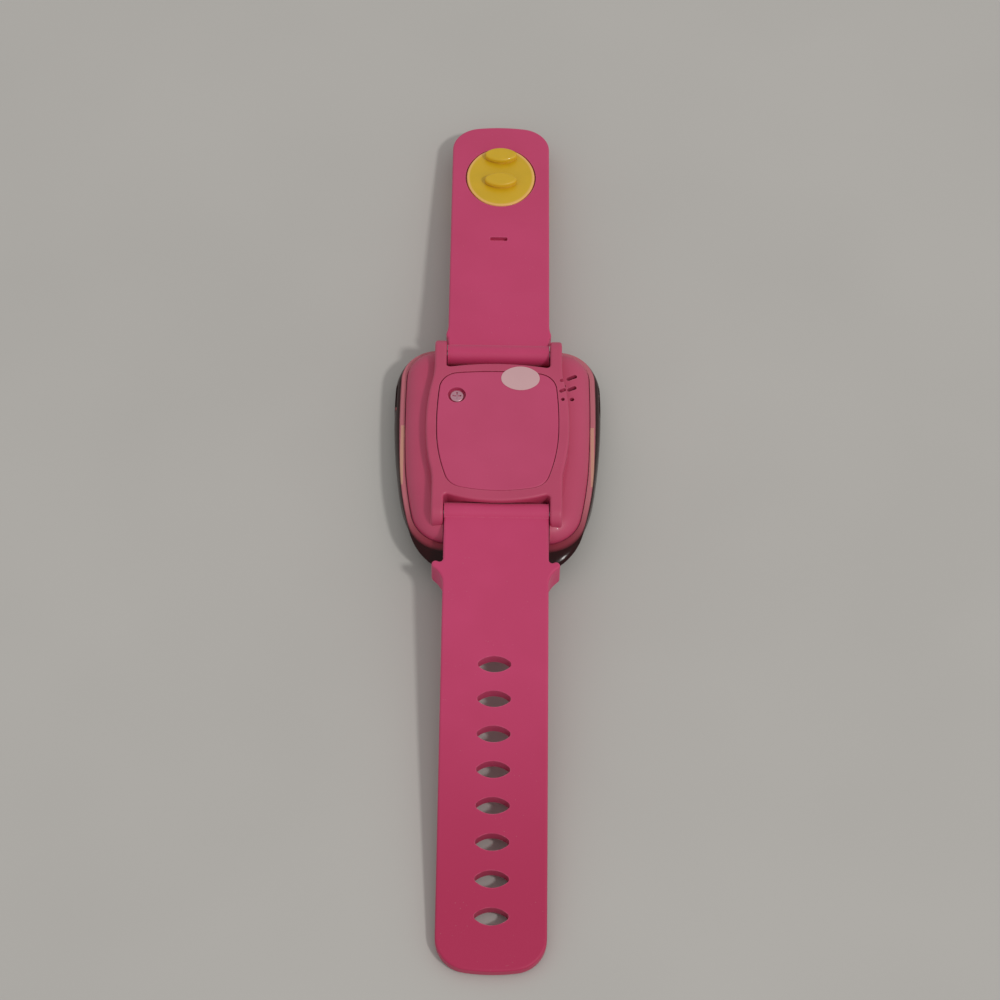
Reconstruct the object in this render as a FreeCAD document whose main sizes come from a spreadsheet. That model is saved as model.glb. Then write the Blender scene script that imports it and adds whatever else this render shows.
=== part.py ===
import FreeCAD, Part

import math
import os

import Sketcher

"""Toy watch lying face down: case, wrist pad with battery door, and two hinged straps.

Frame: +Z up out of the wrist side, +Y towards the clasp strap, X across. The origin is on the
window's outer face (the plane that the watch rests on), midway between the two strap pins.
"""

V = FreeCAD.Vector

# ---------------------------------------------------------------- driving dimensions, in mm
SIZES = {
    # case outline at its widest level, the rim
    "rim_half_width": 24.1, "rim_widest_y": 10.5, "rim_side_r": 160.0,
    "rim_low_r": 30.0, "rim_low_y": -9.4,
    "rim_top_y": 27.4, "rim_top_r": 75.0, "rim_corner_r": 10.5,
    "rim_end_y": -35.4, "rim_end_r": 60.0, "rim_end_corner_r": 6.0,
    # outline of the seam between the clear bezel and the back shell
    "seam_half_width": 21.4, "seam_widest_y": 8.0, "seam_side_r": 300.0,
    "seam_low_r": 100.0, "seam_low_y": -1.0,
    "seam_top_y": 25.2, "seam_top_r": 90.0, "seam_corner_r": 7.0,
    "seam_end_y": -28.9, "seam_end_r": 60.0, "seam_end_corner_r": 8.5,
    # outline of the battery door
    "door_half_width": 14.0, "door_widest_y": 1.0, "door_side_r": 90.0,
    "door_low_r": 40.0, "door_low_y": -0.5,
    "door_top_y": 15.0, "door_top_r": 90.0, "door_corner_r": 4.5,
    "door_end_y": -17.6, "door_end_r": 40.0, "door_end_corner_r": 4.5,
    # levels above the rest plane
    "rim_level": 3.4, "seam_level": 7.6, "bezel_lip": 2.0, "skirt_level": 4.5,
    "cavity_level": 6.8, "channel_level": 7.7, "shell_top": 11.4, "pad_top": 14.2,
    "bay_floor": 8.2, "ledge_level": 12.6, "board_low": 4.3, "board_high": 5.3,
    # walls and running gaps
    "skirt_wall": 1.6, "seam_gap": 0.15, "bezel_top_wall": 1.1, "rim_round": 2.8,
    "fit_gap": 0.1, "pin_gap": 0.05, "frame_top": 3.95, "gasket_inset": 0.35, "gasket_width": 1.0,
    # front window, display and camera
    "lens_half_width": 16.2, "lens_low_y": -16.8, "lens_high_y": 17.4, "lens_corner_r": 4.0,
    "lens_thick": 1.4, "lens_ledge": 1.2,
    "display_half_width": 15.2, "display_low_y": -15.8, "display_high_y": 16.2, "display_top": 3.7,
    "camera_y": 21.6, "camera_window_r": 2.4, "camera_window_top": 1.1, "camera_barrel_r": 1.7,
    "camera_half_side": 3.2, "camera_top": 3.9,
    # wrist pad and lugs
    "pad_half_width": 16.5, "pad_middle_y": 0.8, "pad_side_r": 58.0, "pad_blend_r": 20.0,
    "pad_top_y": 17.4, "pad_top_r": 67.7, "pad_end_y": -20.3, "pad_end_r": 36.0,
    "pad_round": 0.6, "notch_r": 0.8, "lug_half_width": 14.8, "lug_gap_half": 12.05, "lug_r": 3.3,
    "pin_y": 21.8, "pin_level": 10.9, "pin_r": 0.75, "pin_half_length": 14.0,
    # battery bay
    "door_thick": 1.5, "door_gap": 0.15, "bay_inset": 2.2, "seal_inset": 0.7, "seal_width": 0.6,
    "seal_depth": 0.55,
    "battery_low_x": -6.2, "battery_high_x": 9.4, "battery_low_y": -13.2, "battery_high_y": 11.4,
    "battery_high": 12.3, "battery_corner_r": 1.6,
    "door_screw_x": -9.5, "door_screw_y": 8.3, "door_screw_head_r": 1.6, "door_screw_r": 0.8,
    "door_screw_low": 9.4, "head_level": 13.05, "seat_gap": 0.02, "head_thick": 0.7, "head_recess_r": 2.1,
    "door_boss_r": 2.0, "cross_width": 0.5, "cross_length": 2.1, "cross_depth": 0.4,
    # case screws, hidden below the strap ends
    "case_screw_x": 8.6, "case_screw_high_y": 21.9, "case_screw_low_y": -23.9,
    "case_screw_r": 0.7, "case_screw_head_r": 1.4, "case_screw_head": 1.0, "case_screw_low": 2.5,
    "case_boss_r": 2.0,
    # speaker
    "speaker_low_x": 10.2, "speaker_high_x": 18.6, "speaker_low_y": 5.2, "speaker_high_y": 17.4,
    "speaker_high": 6.6, "speaker_corner_r": 3.0, "duct_low_x": 13.4, "duct_high_x": 18.2,
    "duct_low_y": 6.4, "duct_high_y": 16.8, "duct_high": 9.8, "slit_width": 0.95,
    "slit_near_x": 14.95, "slit_far_x": 17.15, "speaker_wall": 1.4, "speaker_dish": 0.4,
    # buttons, port and side trim
    "home_y": -22.0, "home_r": 4.0, "home_flange_r": 4.7, "home_face": 0.3, "home_high": 2.6,
    "home_stem_r": 1.2, "home_stem": 0.5, "home_travel": 0.5, "home_switch_half": 1.8,
    "side_low_y": 9.2, "side_high_y": 16.8, "side_low_z": 3.8, "side_high_z": 5.8,
    "side_face_x": 23.55, "side_flange_x": 21.95, "side_flange_thick": 0.55, "side_flange_extra": 0.4,
    "port_low_y": 9.4, "port_high_y": 16.2, "port_low_z": 3.5, "port_high_z": 6.1,
    "port_face_x": -23.5, "port_plate_thick": 1.1, "port_plug_length": 2.0,
    "socket_inner_x": -14.6, "socket_mouth_x": -19.9, "socket_low_z": 4.6, "socket_high_z": 6.6,
    "strip_low_y": -12.2, "strip_high_y": 4.0, "strip_low_z": 4.2, "strip_high_z": 6.6,
    "strip_out": 0.7,
    # circuit board and what it carries
    "board_half_width": 17.0, "board_low_y": -20.0, "board_high_y": 4.4, "board_arm_low_x": -14.6,
    "board_arm_high_x": 9.6, "board_arm_y": 17.0, "board_tail_half": 5.6, "board_tail_y": -26.0,
    "can_low_x": -10.0, "can_high_x": 3.0, "can_low_y": -9.0, "can_high_y": 3.0, "can_top": 6.5,
    "microphone_x": 11.5, "microphone_y": -15.5, "microphone_r": 2.0,
    "side_switch_low_x": 19.4, "side_switch_high_x": 21.2, "socket_wall": 0.4,
    # battery connector and lead
    "plug_low_x": -11.0, "plug_high_x": -7.6, "plug_low_y": -5.2, "plug_high_y": -1.6, "plug_top": 11.2,
    "wire_r": 0.5, "wire_bend_r": 1.4, "wire_x": -9.3, "near_wire_y": -9.6, "near_wire_z": 10.6,
    "far_wire_y": -11.0, "far_wire_z": 9.3,
    # straps
    "knuckle_gap": 0.3, "strap_half_width": 11.85, "strap_thick": 2.4, "knuckle_r": 2.35, "face_at_knuckle": 12.31,
    "face_bend_y": 40.0, "face_bend_level": 11.17, "strap_root_r": 135.0, "strap_reach_r": 950.0,
    "clasp_tip_y": 94.45, "clasp_tip_level": 5.7, "tip_corner_r": 7.2, "tip_r": 40.0,
    "hole_tip_y": 129.5, "hole_tip_level": 2.45, "hole_reach_r": 2350.0,
    "hole_pitch": 8.28, "first_hole_y": 59.92, "hole_half_length": 3.7, "hole_half_width": 1.95,
    "hole_end_r": 0.9, "strap_round": 0.5,
    "shoulder_end": 44.0,
    "hole_flare_x": 13.5, "hole_flare_y": 35.6, "hole_flare_r": 0.9, "hole_blend_r": 0.8,
    "clasp_flare_x": 10.3, "clasp_flare_y": 27.0, "clasp_flare_r": 2.0, "clasp_blend_r": 0.8,
    "slot_low_x": -2.4, "slot_high_x": 1.8, "slot_low_y": 56.1, "slot_high_y": 57.3, "slot_bottom": 8.6,
    # clasp
    "clasp_y": 77.04, "clasp_level": 7.07, "clasp_tilt": 5.1, "disc_half_width": 8.3,
    "disc_half_length": 9.55, "disc_side_r": 10.5, "disc_gap": 0.3, "disc_recess": 0.4, "disc_high": 0.9,
    "prong_shift": 2.13, "post_r": 2.6, "cap_r": 8.8, "cap_thick": 3.75, "cap_round": 1.8,
    "prong_half_length": 3.9, "prong_half_width": 2.15, "prong_end_r": 1.3, "prong_high": 2.6,
    "prong_neck_high": 1.6, "prong_neck_inset": 0.4,
    # sticker on the door
    "sticker_x": 5.15, "sticker_y": 13.1, "sticker_half_length": 4.45, "sticker_half_width": 3.3,
    "sticker_end_r": 2.6, "sticker_thick": 0.08, "sticker_lift": 0.02,
}

HOLES = 8
TOP, END = 1, -1          # the two strap ends of the case, along +Y and -Y

doc = FreeCAD.newDocument("toy_watch")
sheet = doc.addObject("Spreadsheet::Sheet", "sizes")
for row, (alias, length) in enumerate(SIZES.items(), start=1):
    sheet.set(f"A{row}", alias)
    sheet.set(f"B{row}", str(length))
    sheet.setAlias(f"B{row}", alias)
doc.recompute()


# ---------------------------------------------------------------- sizes that know their cell
class Size:
    """A length with its value in mm and the sheet expression that gives it."""

    def __init__(self, value, words):
        self.value = float(value)
        self.words = words

    def __add__(self, other):
        return Size(self.value + value_of(other), f"({self.words} + {words_of(other)})")

    def __sub__(self, other):
        return Size(self.value - value_of(other), f"({self.words} - {words_of(other)})")

    def __mul__(self, other):
        return Size(self.value * value_of(other), f"({self.words} * {words_of(other)})")

    def __truediv__(self, other):
        return Size(self.value / value_of(other), f"({self.words} / {words_of(other)})")

    def __neg__(self):
        return Size(-self.value, f"(0 - {self.words})")

    __radd__ = __add__
    __rmul__ = __mul__

    def __rsub__(self, other):
        return -self + other


def root(size):
    return Size(math.sqrt(size.value), f"sqrt({size.words})")


def value_of(size):
    return size.value if isinstance(size, Size) else float(size)


def words_of(size):
    return size.words if isinstance(size, Size) else f"{float(size):g}"


class Cells:
    """Gives each named cell of the sheet as a Size."""

    def __getattr__(self, alias):
        return Size(SIZES[alias], f"sizes.{alias}")


S = Cells()


def bind(thing, prop, size):
    """Sets a property of a feature from the sheet."""
    setattr(thing, prop, value_of(size))
    thing.setExpression(prop, words_of(size))


# ---------------------------------------------------------------- drawing in sketches
def fix(sketch, kind, geometry, place, size):
    """Holds one coordinate of a point at a size from the sketch's origin."""
    if abs(value_of(size)) < 1e-9 and not isinstance(size, Size):
        axis = -2 if kind == "DistanceX" else -1
        sketch.addConstraint(Sketcher.Constraint("PointOnObject", geometry, place, axis))
        return
    index = sketch.addConstraint(Sketcher.Constraint(kind, -1, 1, geometry, place, value_of(size)))
    sketch.setExpression(f"Constraints[{index}]", words_of(size))


def fix_radius(sketch, geometry, size):
    index = sketch.addConstraint(Sketcher.Constraint("Radius", geometry, value_of(size)))
    sketch.setExpression(f"Constraints[{index}]", words_of(size))


def edge_between(start, end, radius):
    """A line, or an arc of the radius that turns left (above zero) or right (below zero)."""
    a = V(value_of(start[0]), value_of(start[1]), 0)
    b = V(value_of(end[0]), value_of(end[1]), 0)
    if radius is None:
        return Part.LineSegment(a, b), 1, 2
    r = value_of(radius)
    half = (b - a) * 0.5
    left = V(-half.y, half.x, 0).normalize()
    rise = math.sqrt(max(r * r - half.Length ** 2, 0.0))
    centre = a + half + left * (rise if r > 0 else -rise)
    circle = Part.Circle(centre, V(0, 0, 1), abs(r))
    first, last = (a, b) if r > 0 else (b, a)
    turn = [math.atan2(p.y - centre.y, p.x - centre.x) for p in (first, last)]
    if turn[1] < turn[0]:
        turn[1] += 2 * math.pi
    places = (1, 2) if r > 0 else (2, 1)
    return Part.ArcOfCircle(circle, turn[0], turn[1]), *places


def outline(points, radii=None):
    """A closed outline through points; radii[i] rounds the edge that leaves point i."""
    radii = radii or [None] * len(points)

    def draw(sketch):
        made = []
        for i, start in enumerate(points):
            end = points[(i + 1) % len(points)]
            geometry, first, last = edge_between(start, end, radii[i])
            made.append((sketch.addGeometry(geometry), first, last))
        for i, (geometry, first, last) in enumerate(made):
            after, after_first, _ = made[(i + 1) % len(made)]
            joint = Sketcher.Constraint("Coincident", geometry, last, after, after_first)
            sketch.addConstraint(joint)
            fix(sketch, "DistanceX", geometry, first, points[i][0])
            fix(sketch, "DistanceY", geometry, first, points[i][1])
            if radii[i] is not None:
                size = radii[i] if value_of(radii[i]) > 0 else -radii[i]
                fix_radius(sketch, geometry, size)
    return draw


def box(x0, y0, x1, y1, corner=None):
    """A rectangle, with round corners where a radius is given."""
    if corner is None:
        return outline([(x0, y0), (x1, y0), (x1, y1), (x0, y1)])
    r = corner
    points = [(x0 + r, y0), (x1 - r, y0), (x1, y0 + r), (x1, y1 - r),
              (x1 - r, y1), (x0 + r, y1), (x0, y1 - r), (x0, y0 + r)]
    return outline(points, [None, r] * 4)


def disc(x, y, r):
    def draw(sketch):
        circle = Part.Circle(V(value_of(x), value_of(y), 0), V(0, 0, 1), value_of(r))
        geometry = sketch.addGeometry(circle)
        fix(sketch, "DistanceX", geometry, 3, x)
        fix(sketch, "DistanceY", geometry, 3, y)
        fix_radius(sketch, geometry, r)
    return draw


def oval(x, y, half_length, half_width, end_r, grow=0.0):
    """A long round shape: two flat arcs and two tight end arcs that meet smoothly."""
    a = half_length + grow
    b = half_width + grow
    r = end_r + grow
    side_r = ((a - r) * (a - r) + b * b - r * r) / ((b - r) * 2)
    tip_x = (a - r) + r * (a - r) / (side_r - r)
    tip_y = r * (side_r - b) / (side_r - r)
    points = [(x + tip_x, y - tip_y), (x + tip_x, y + tip_y), (x - tip_x, y + tip_y), (x - tip_x, y - tip_y)]
    return outline(points, [r, side_r, r, side_r])


def slit(x, y, length, width, angle):
    """A straight slit with round ends, its middle at x, y, turned by an angle in degrees."""
    c = math.cos(math.radians(angle))
    s = math.sin(math.radians(angle))
    reach = (length - width) / 2
    half = width / 2
    end_r = half * 1.02
    corners = [(-1, -1), (1, -1), (1, 1), (-1, 1)]
    points = [(x + reach * (i * c) - half * (j * s), y + reach * (i * s) + half * (j * c))
              for i, j in corners]
    return outline(points, [None, end_r, None, end_r])


def both(*draws):
    """Several outlines in one sketch."""
    def draw(sketch):
        for one in draws:
            one(sketch)
    return draw


def meet(a, a_reach, b, b_reach, side):
    """The point at the given reaches from a and b, on the +X side, high or low."""
    gap = math.hypot(b[0] - a[0], b[1] - a[1])
    along = (gap * gap + a_reach ** 2 - b_reach ** 2) / (2 * gap)
    off = math.sqrt(a_reach ** 2 - along ** 2)
    ux = (b[0] - a[0]) / gap
    uy = (b[1] - a[1]) / gap
    picks = [(a[0] + along * ux - k * off * uy, a[1] + along * uy + k * off * ux) for k in (1, -1)]
    return max(picks, key=lambda p: p[1] * side + p[0])


class Shield:
    """The watch's outline: ten arcs that meet smoothly, wide at the top and drawn in below."""

    NAMES = ("half_width", "widest_y", "side_r", "low_r", "low_y", "top_y", "top_r", "corner_r",
             "end_y", "end_r", "end_corner_r")

    def __init__(self, sizes):
        for name in self.NAMES:
            setattr(self, name, sizes[name])

    @classmethod
    def named(cls, prefix):
        return cls({name: getattr(S, f"{prefix}_{name}") for name in cls.NAMES})

    def between(self, other, share):
        """The outline a share of the way from this one to another, with an outset of its own."""
        return Shield({name: getattr(self, name) * (1 - share) + getattr(other, name) * share
                       for name in self.NAMES})

    def circles(self):
        """Centres of the right half's arcs, from the end round to the top, as numbers."""
        size = {name: value_of(getattr(self, name)) for name in self.NAMES}
        top = (0.0, size["top_y"] - size["top_r"])
        side = (size["half_width"] - size["side_r"], size["widest_y"])
        drop = size["low_y"] - size["widest_y"]
        low = (side[0] + math.sqrt((size["side_r"] - size["low_r"]) ** 2 - drop ** 2), size["low_y"])
        end = (0.0, size["end_y"] + size["end_r"])
        corner = meet(top, size["top_r"] - size["corner_r"],
                      side, size["side_r"] - size["corner_r"], 1)
        end_corner = meet(low, size["low_r"] - size["end_corner_r"],
                          end, size["end_r"] - size["end_corner_r"], -1)
        return end, end_corner, low, side, corner, top

    def draw(self, inset=0.0):
        """Draws the outline, moved inwards by the inset; above zero is smaller."""
        end, end_corner, low, side, corner, top = self.circles()

        def angle(big, small):
            return math.atan2(small[1] - big[1], small[0] - big[0])

        joins = [angle(end, end_corner), angle(low, end_corner), angle(side, low),
                 angle(side, corner), angle(top, corner)]
        right = [(end_corner, self.end_corner_r, joins[0], joins[1]),
                 (low, self.low_r, joins[1], joins[2]),
                 (side, self.side_r, joins[2], joins[3]),
                 (corner, self.corner_r, joins[3], joins[4])]
        left = [((-c[0], c[1]), r, math.pi - last, math.pi - first)
                for c, r, first, last in reversed(right)]
        arcs = [(end, self.end_r, math.pi - joins[0] - 2 * math.pi, joins[0])] + right
        arcs += [(top, self.top_r, joins[4], math.pi - joins[4])] + left

        def place(sketch):
            made = []
            for centre, radius, first, last in arcs:
                r = radius - inset
                circle = Part.Circle(V(centre[0], centre[1], 0), V(0, 0, 1), value_of(r))
                made.append(sketch.addGeometry(Part.ArcOfCircle(circle, first, last)))
                fix_radius(sketch, made[-1], r)
            for i, geometry in enumerate(made):
                after = made[(i + 1) % len(made)]
                sketch.addConstraint(Sketcher.Constraint("Tangent", geometry, 2, after, 1))
            end_arc, _, low_arc, side_arc, _, top_arc, _, far_side, far_low, _ = made
            fix(sketch, "DistanceX", end_arc, 3, 0.0)
            fix(sketch, "DistanceY", end_arc, 3, self.end_y + self.end_r)
            fix(sketch, "DistanceX", top_arc, 3, 0.0)
            fix(sketch, "DistanceY", top_arc, 3, self.top_y - self.top_r)
            for one, sign in ((side_arc, 1), (far_side, -1)):
                fix(sketch, "DistanceX", one, 3, (self.half_width - self.side_r) * sign)
                fix(sketch, "DistanceY", one, 3, self.widest_y)
            for one in (low_arc, far_low):
                fix(sketch, "DistanceY", one, 3, self.low_y)
        return place


RIM = Shield.named("rim")
SEAM = Shield.named("seam")
DOOR = Shield.named("door")


# ---------------------------------------------------------------- features of one piece
def edges_where(shape, test):
    return [f"Edge{i}" for i, edge in enumerate(shape.Edges, start=1) if test(edge, shape)]


def level(height):
    """Picks the edges that lie flat at a height."""
    z = value_of(height)

    def test(edge, _):
        b = edge.BoundBox
        return abs(b.ZMin - z) < 1e-4 and abs(b.ZMax - z) < 1e-4
    return test


class Piece:
    """A solid of the watch, built feature by feature in a body of its own."""

    def __init__(self, label):
        self.body = doc.addObject("PartDesign::Body", label)
        self.body.Label = label
        self.count = 0

    def sketch(self, draw, plane, offset, tilt=None):
        """A sketch on one of the body's planes, moved along the plane's normal by the offset."""
        self.count += 1
        sketch = self.body.newObject("Sketcher::SketchObject", f"{self.body.Name}_outline_{self.count}")
        base = next(o for o in self.body.Origin.OriginFeatures if o.Role == plane)
        sketch.AttachmentSupport = [(base, "")]
        sketch.MapMode = "FlatFace"
        if tilt is not None:
            sketch.AttachmentOffset = tilt
        else:
            sketch.AttachmentOffset = FreeCAD.Placement(V(0, 0, value_of(offset)), FreeCAD.Rotation())
            sketch.setExpression("AttachmentOffset.Base.z", words_of(offset))
        draw(sketch)
        return sketch

    def feature(self, kind, sketch, length, reverse=False):
        feature = self.body.newObject(f"PartDesign::{kind}", f"{self.body.Name}_{kind}_{self.count}")
        feature.Profile = sketch
        feature.Reversed = reverse
        bind(feature, "Length", length)
        return self.done(feature)

    def done(self, feature):
        doc.recompute()
        if "Invalid" in feature.State:
            raise RuntimeError(f"{feature.Name} does not come out")
        return feature

    def add(self, draw, low, high, plane="XY_Plane"):
        """Adds material between two levels across the plane."""
        if plane == "XZ_Plane":
            return self.feature("Pad", self.sketch(draw, plane, -high), high - low)
        return self.feature("Pad", self.sketch(draw, plane, low), high - low)

    def cut(self, draw, low, high, plane="XY_Plane"):
        """Takes material away between two levels across the plane."""
        before = self.body.Shape.Volume
        if plane == "XZ_Plane":
            made = self.feature("Pocket", self.sketch(draw, plane, -low), high - low)
        else:
            made = self.feature("Pocket", self.sketch(draw, plane, high), high - low)
        if not self.body.Shape.Volume < before - 1e-6:
            raise RuntimeError(f"a cut takes nothing from {self.body.Label}")
        return made

    def loft(self, layers):
        """Adds a smooth skin through outlines, each with its level."""
        sketches = [self.sketch(draw, "XY_Plane", height) for draw, height in layers]
        loft = self.body.newObject("PartDesign::AdditiveLoft", f"{self.body.Name}_loft")
        loft.Profile = sketches[0]
        loft.Sections = sketches[1:]
        return self.done(loft)

    def fillet(self, test, radius):
        base = self.body.Tip
        names = edges_where(base.Shape, test)
        if not names:
            raise RuntimeError(f"no edge to round on {self.body.Label}")
        fillet = self.body.newObject("PartDesign::Fillet", f"{self.body.Name}_round_{self.count}")
        self.count += 1
        fillet.Base = (base, names)
        bind(fillet, "Radius", radius)
        return self.done(fillet)


def plain(label, draw, low, high, plane="XY_Plane"):
    """A piece of one outline and one thickness."""
    piece = Piece(label)
    piece.add(draw, low, high, plane)
    return piece


# ---------------------------------------------------------------- front of the case
def make_bezel():
    """Clear tinted front housing: lip round the window, rim, and shoulder up to the seam."""
    bezel = Piece("front_bezel")
    bezel.add(RIM.draw(), 0.0, S.rim_level)
    bezel.fillet(level(0.0), S.rim_round)
    top_inset = -S.bezel_top_wall
    rise = S.seam_level - S.rim_level
    layers = [(RIM.between(SEAM, share).draw(top_inset * share), S.rim_level + rise * height)
              for share, height in BEZEL_DOME]
    bezel.loft(layers)
    bezel.cut(SEAM.draw(-S.seam_gap), S.bezel_lip, S.seam_level)
    gap = S.fit_gap
    bezel.cut(box(-S.lens_half_width - gap, S.lens_low_y - gap, S.lens_half_width + gap,
                  S.lens_high_y + gap, S.lens_corner_r + gap), 0.0, S.lens_thick)
    ledge = S.lens_ledge
    bezel.cut(box(ledge - S.lens_half_width, S.lens_low_y + ledge, S.lens_half_width - ledge,
                  S.lens_high_y - ledge, S.lens_corner_r - ledge), S.lens_thick, S.bezel_lip)
    bezel.cut(disc(0.0, S.camera_y, S.camera_window_r + gap), 0.0, S.camera_window_top)
    bezel.cut(disc(0.0, S.camera_y, S.camera_barrel_r + gap), S.camera_window_top, S.bezel_lip)
    bezel.cut(disc(0.0, S.home_y, S.home_r + gap), 0.0, S.bezel_lip)
    side = box(S.side_low_y - gap, S.side_low_z - gap, S.side_high_y + gap, S.side_high_z + gap, 0.9)
    bezel.cut(side, S.side_flange_x, 26.0, "YZ_Plane")
    extra = S.side_flange_extra + gap
    flange = box(S.side_low_y - extra, S.side_low_z - extra, S.side_high_y + extra, S.side_high_z + extra, 0.9)
    bezel.cut(flange, 21.0, S.side_flange_x + S.side_flange_thick + gap, "YZ_Plane")
    port = box(S.port_low_y - gap, S.port_low_z - gap, S.port_high_y + gap, S.port_high_z + gap)
    bezel.cut(port, -26.0, -21.0, "YZ_Plane")
    for side_sign in (1, -1):
        bezel.cut(side_band(side_sign, 0.05, S.strip_out + 0.05, 0.05), S.strip_low_z - 0.05, S.strip_high_z + 0.05)
    return bezel


def side_band(sign, near, far, extra):
    """The outline of a strip that follows the case's side, between two outsets from the seam."""
    centre_x = S.seam_half_width - S.seam_side_r
    low_y = S.strip_low_y - extra
    high_y = S.strip_high_y + extra

    def side_x(outset, y):
        r = S.seam_side_r + outset
        drop = y - S.seam_widest_y
        reach = r - drop * drop / (r * 2)
        return (centre_x + reach) * sign

    points = [(side_x(near, low_y), low_y), (side_x(far, low_y), low_y),
              (side_x(far, high_y), high_y), (side_x(near, high_y), high_y)]
    r_far = (S.seam_side_r + far) * sign
    r_near = -(S.seam_side_r + near) * sign
    return outline(points, [None, r_far, None, r_near])


def make_front():
    """Window, display, camera and the frame that carries them."""
    plain("front_lens", box(-S.lens_half_width, S.lens_low_y, S.lens_half_width, S.lens_high_y,
                            S.lens_corner_r), 0.0, S.lens_thick)
    ledge = S.lens_ledge + S.fit_gap
    display = Piece("display_module")
    display.add(box(ledge - S.lens_half_width, S.lens_low_y + ledge, S.lens_half_width - ledge,
                    S.lens_high_y - ledge, S.lens_corner_r - ledge), S.lens_thick, S.bezel_lip)
    display.add(box(-S.display_half_width, S.display_low_y, S.display_half_width, S.display_high_y, 0.8),
                S.bezel_lip, S.display_top)
    plain("camera_window", disc(0.0, S.camera_y, S.camera_window_r), 0.1, S.camera_window_top)
    camera = Piece("camera_module")
    camera.add(disc(0.0, S.camera_y, S.camera_barrel_r), S.camera_window_top, S.bezel_lip)
    half = S.camera_half_side
    camera.add(box(-half, S.camera_y - half, half, S.camera_y + half, 0.5), S.bezel_lip, S.camera_top)
    frame = Piece("mid_frame")
    frame.add(SEAM.draw(S.fit_gap), S.bezel_lip, S.frame_top)
    gap = S.fit_gap
    frame.cut(box(-S.display_half_width - gap, S.display_low_y - gap, S.display_half_width + gap,
                  S.display_high_y + gap, 0.9), S.bezel_lip, S.frame_top)
    frame.cut(box(-half - gap, S.camera_y - half - gap, half + gap, S.camera_y + half + gap, 0.6),
              S.bezel_lip, S.frame_top)
    frame.cut(disc(0.0, S.home_y, S.home_flange_r + gap), S.bezel_lip, S.frame_top)
    clear_z = S.side_low_z - S.side_flange_extra - gap
    extra = S.side_flange_extra + gap
    frame.cut(box(20.6, S.side_low_y - extra, 22.0, S.side_high_y + extra), clear_z, S.frame_top)
    frame.cut(case_screw_places(S.case_screw_r + S.pin_gap), S.bezel_lip, S.frame_top)


def case_screw_places(r):
    spots = [(x, y) for x in (S.case_screw_x, -S.case_screw_x)
             for y in (S.case_screw_high_y, S.case_screw_low_y)]
    return both(*[disc(x, y, r) for x, y in spots])


# ---------------------------------------------------------------- back of the case
def pad_outline():
    """Top view of the wrist pad and its four lugs, bowed at the sides and at both ends."""
    lug = S.lug_half_width
    side_x = S.pad_half_width - S.pad_side_r
    blend_x = lug + S.pad_blend_r
    reach = S.pad_side_r + S.pad_blend_r
    drop = root(reach * reach - (blend_x - side_x) * (blend_x - side_x))
    share = S.pad_side_r / reach
    join_x = side_x + (blend_x - side_x) * share
    join_y = drop * share
    middle = S.pad_middle_y
    far = S.pin_y + S.lug_r
    right = [(lug, -far), (lug, middle - drop), (join_x, middle - join_y), (join_x, middle + join_y),
             (lug, middle + drop), (lug, far)]
    left = [(-x, y) for x, y in reversed(right)]
    blend = -S.pad_blend_r
    bends = [None, blend, S.pad_side_r, blend, None]
    top = notch(TOP)
    end = notch(END)
    points = right + top + left + end
    radii = bends + [None] + [None, S.notch_r * -1, S.pad_top_r, S.notch_r * -1, None, None]
    radii += bends + [None] + [None, S.notch_r * -1, S.pad_end_r, S.notch_r * -1, None, None]
    return outline(points, radii)


def notch(end):
    """Points of the space between two lugs, from +X to -X at the top and back at the other end."""
    edge = S.pad_top_y if end == TOP else S.pad_end_y
    bow = S.pad_top_r if end == TOP else S.pad_end_r
    far = (S.pin_y + S.lug_r) * end
    gap = S.lug_gap_half
    corner_x = gap - S.notch_r
    reach = bow + S.notch_r
    bow_y = edge - bow * end
    rise = root(reach * reach - corner_x * corner_x)
    share = bow / reach
    half = [(gap, far), (gap, bow_y + rise * end), (corner_x * share, bow_y + rise * share * end)]
    other = [(-x, y) for x, y in reversed(half)]
    points = half + other
    return points if end == TOP else [(-x, y) for x, y in points]


def channel(end):
    """Top view of the space between the lugs, carried on past the end of the case."""
    points = notch(end)
    far = 32.0 * end
    points[0] = (points[0][0], far)
    points[-1] = (points[-1][0], far)
    bow = S.pad_top_r if end == TOP else S.pad_end_r
    return outline(points, [None, S.notch_r * -1, bow, S.notch_r * -1, None, None])


def lug_end(end):
    """Side view of what is taken off the lugs to round their ends about the strap pin."""
    reach = (S.pin_y + S.lug_r) * end
    pin = S.pin_y * end
    clear = 1.0 * end
    points = [(pin, S.pad_top), (reach, S.pin_level), (pin, S.pin_level - S.lug_r), (pin, S.skirt_level),
              (reach + clear, S.skirt_level), (reach + clear, S.pad_top + 1.0), (pin, S.pad_top + 1.0)]
    return outline(points, [S.lug_r * -end, S.lug_r * -end] + [None] * 5)


SLITS = (  # rows of the speaker grille: near slit's y and length, far slit's y and length
    (12.9, 1.8, 15.5, 2.9),
    (10.0, 2.0, 12.4, 2.6),
    (7.5, 1.1, 9.4, 1.3),
)
SLIT_ANGLE = 29.0

SHELL_DOME = ((0.0, 0.0), (0.12, 0.2), (0.7, 0.5), (2.0, 0.8), (4.6, 1.0))   # inset, share of the rise
BEZEL_DOME = ((0.0, 0.0), (0.06, 0.3), (0.2, 0.55), (0.5, 0.8), (1.0, 1.0))  # share inwards, of the rise


def pad_rim(edge, _):
    """The pad's top edges, without the seams where the lugs start to turn down."""
    z = value_of(S.pad_top)
    pin = value_of(S.pin_y)
    ends = [v.Point for v in edge.Vertexes]
    return all(abs(p.z - z) < 1e-4 for p in ends) and not all(abs(abs(p.y) - pin) < 1e-3 for p in ends)


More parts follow.
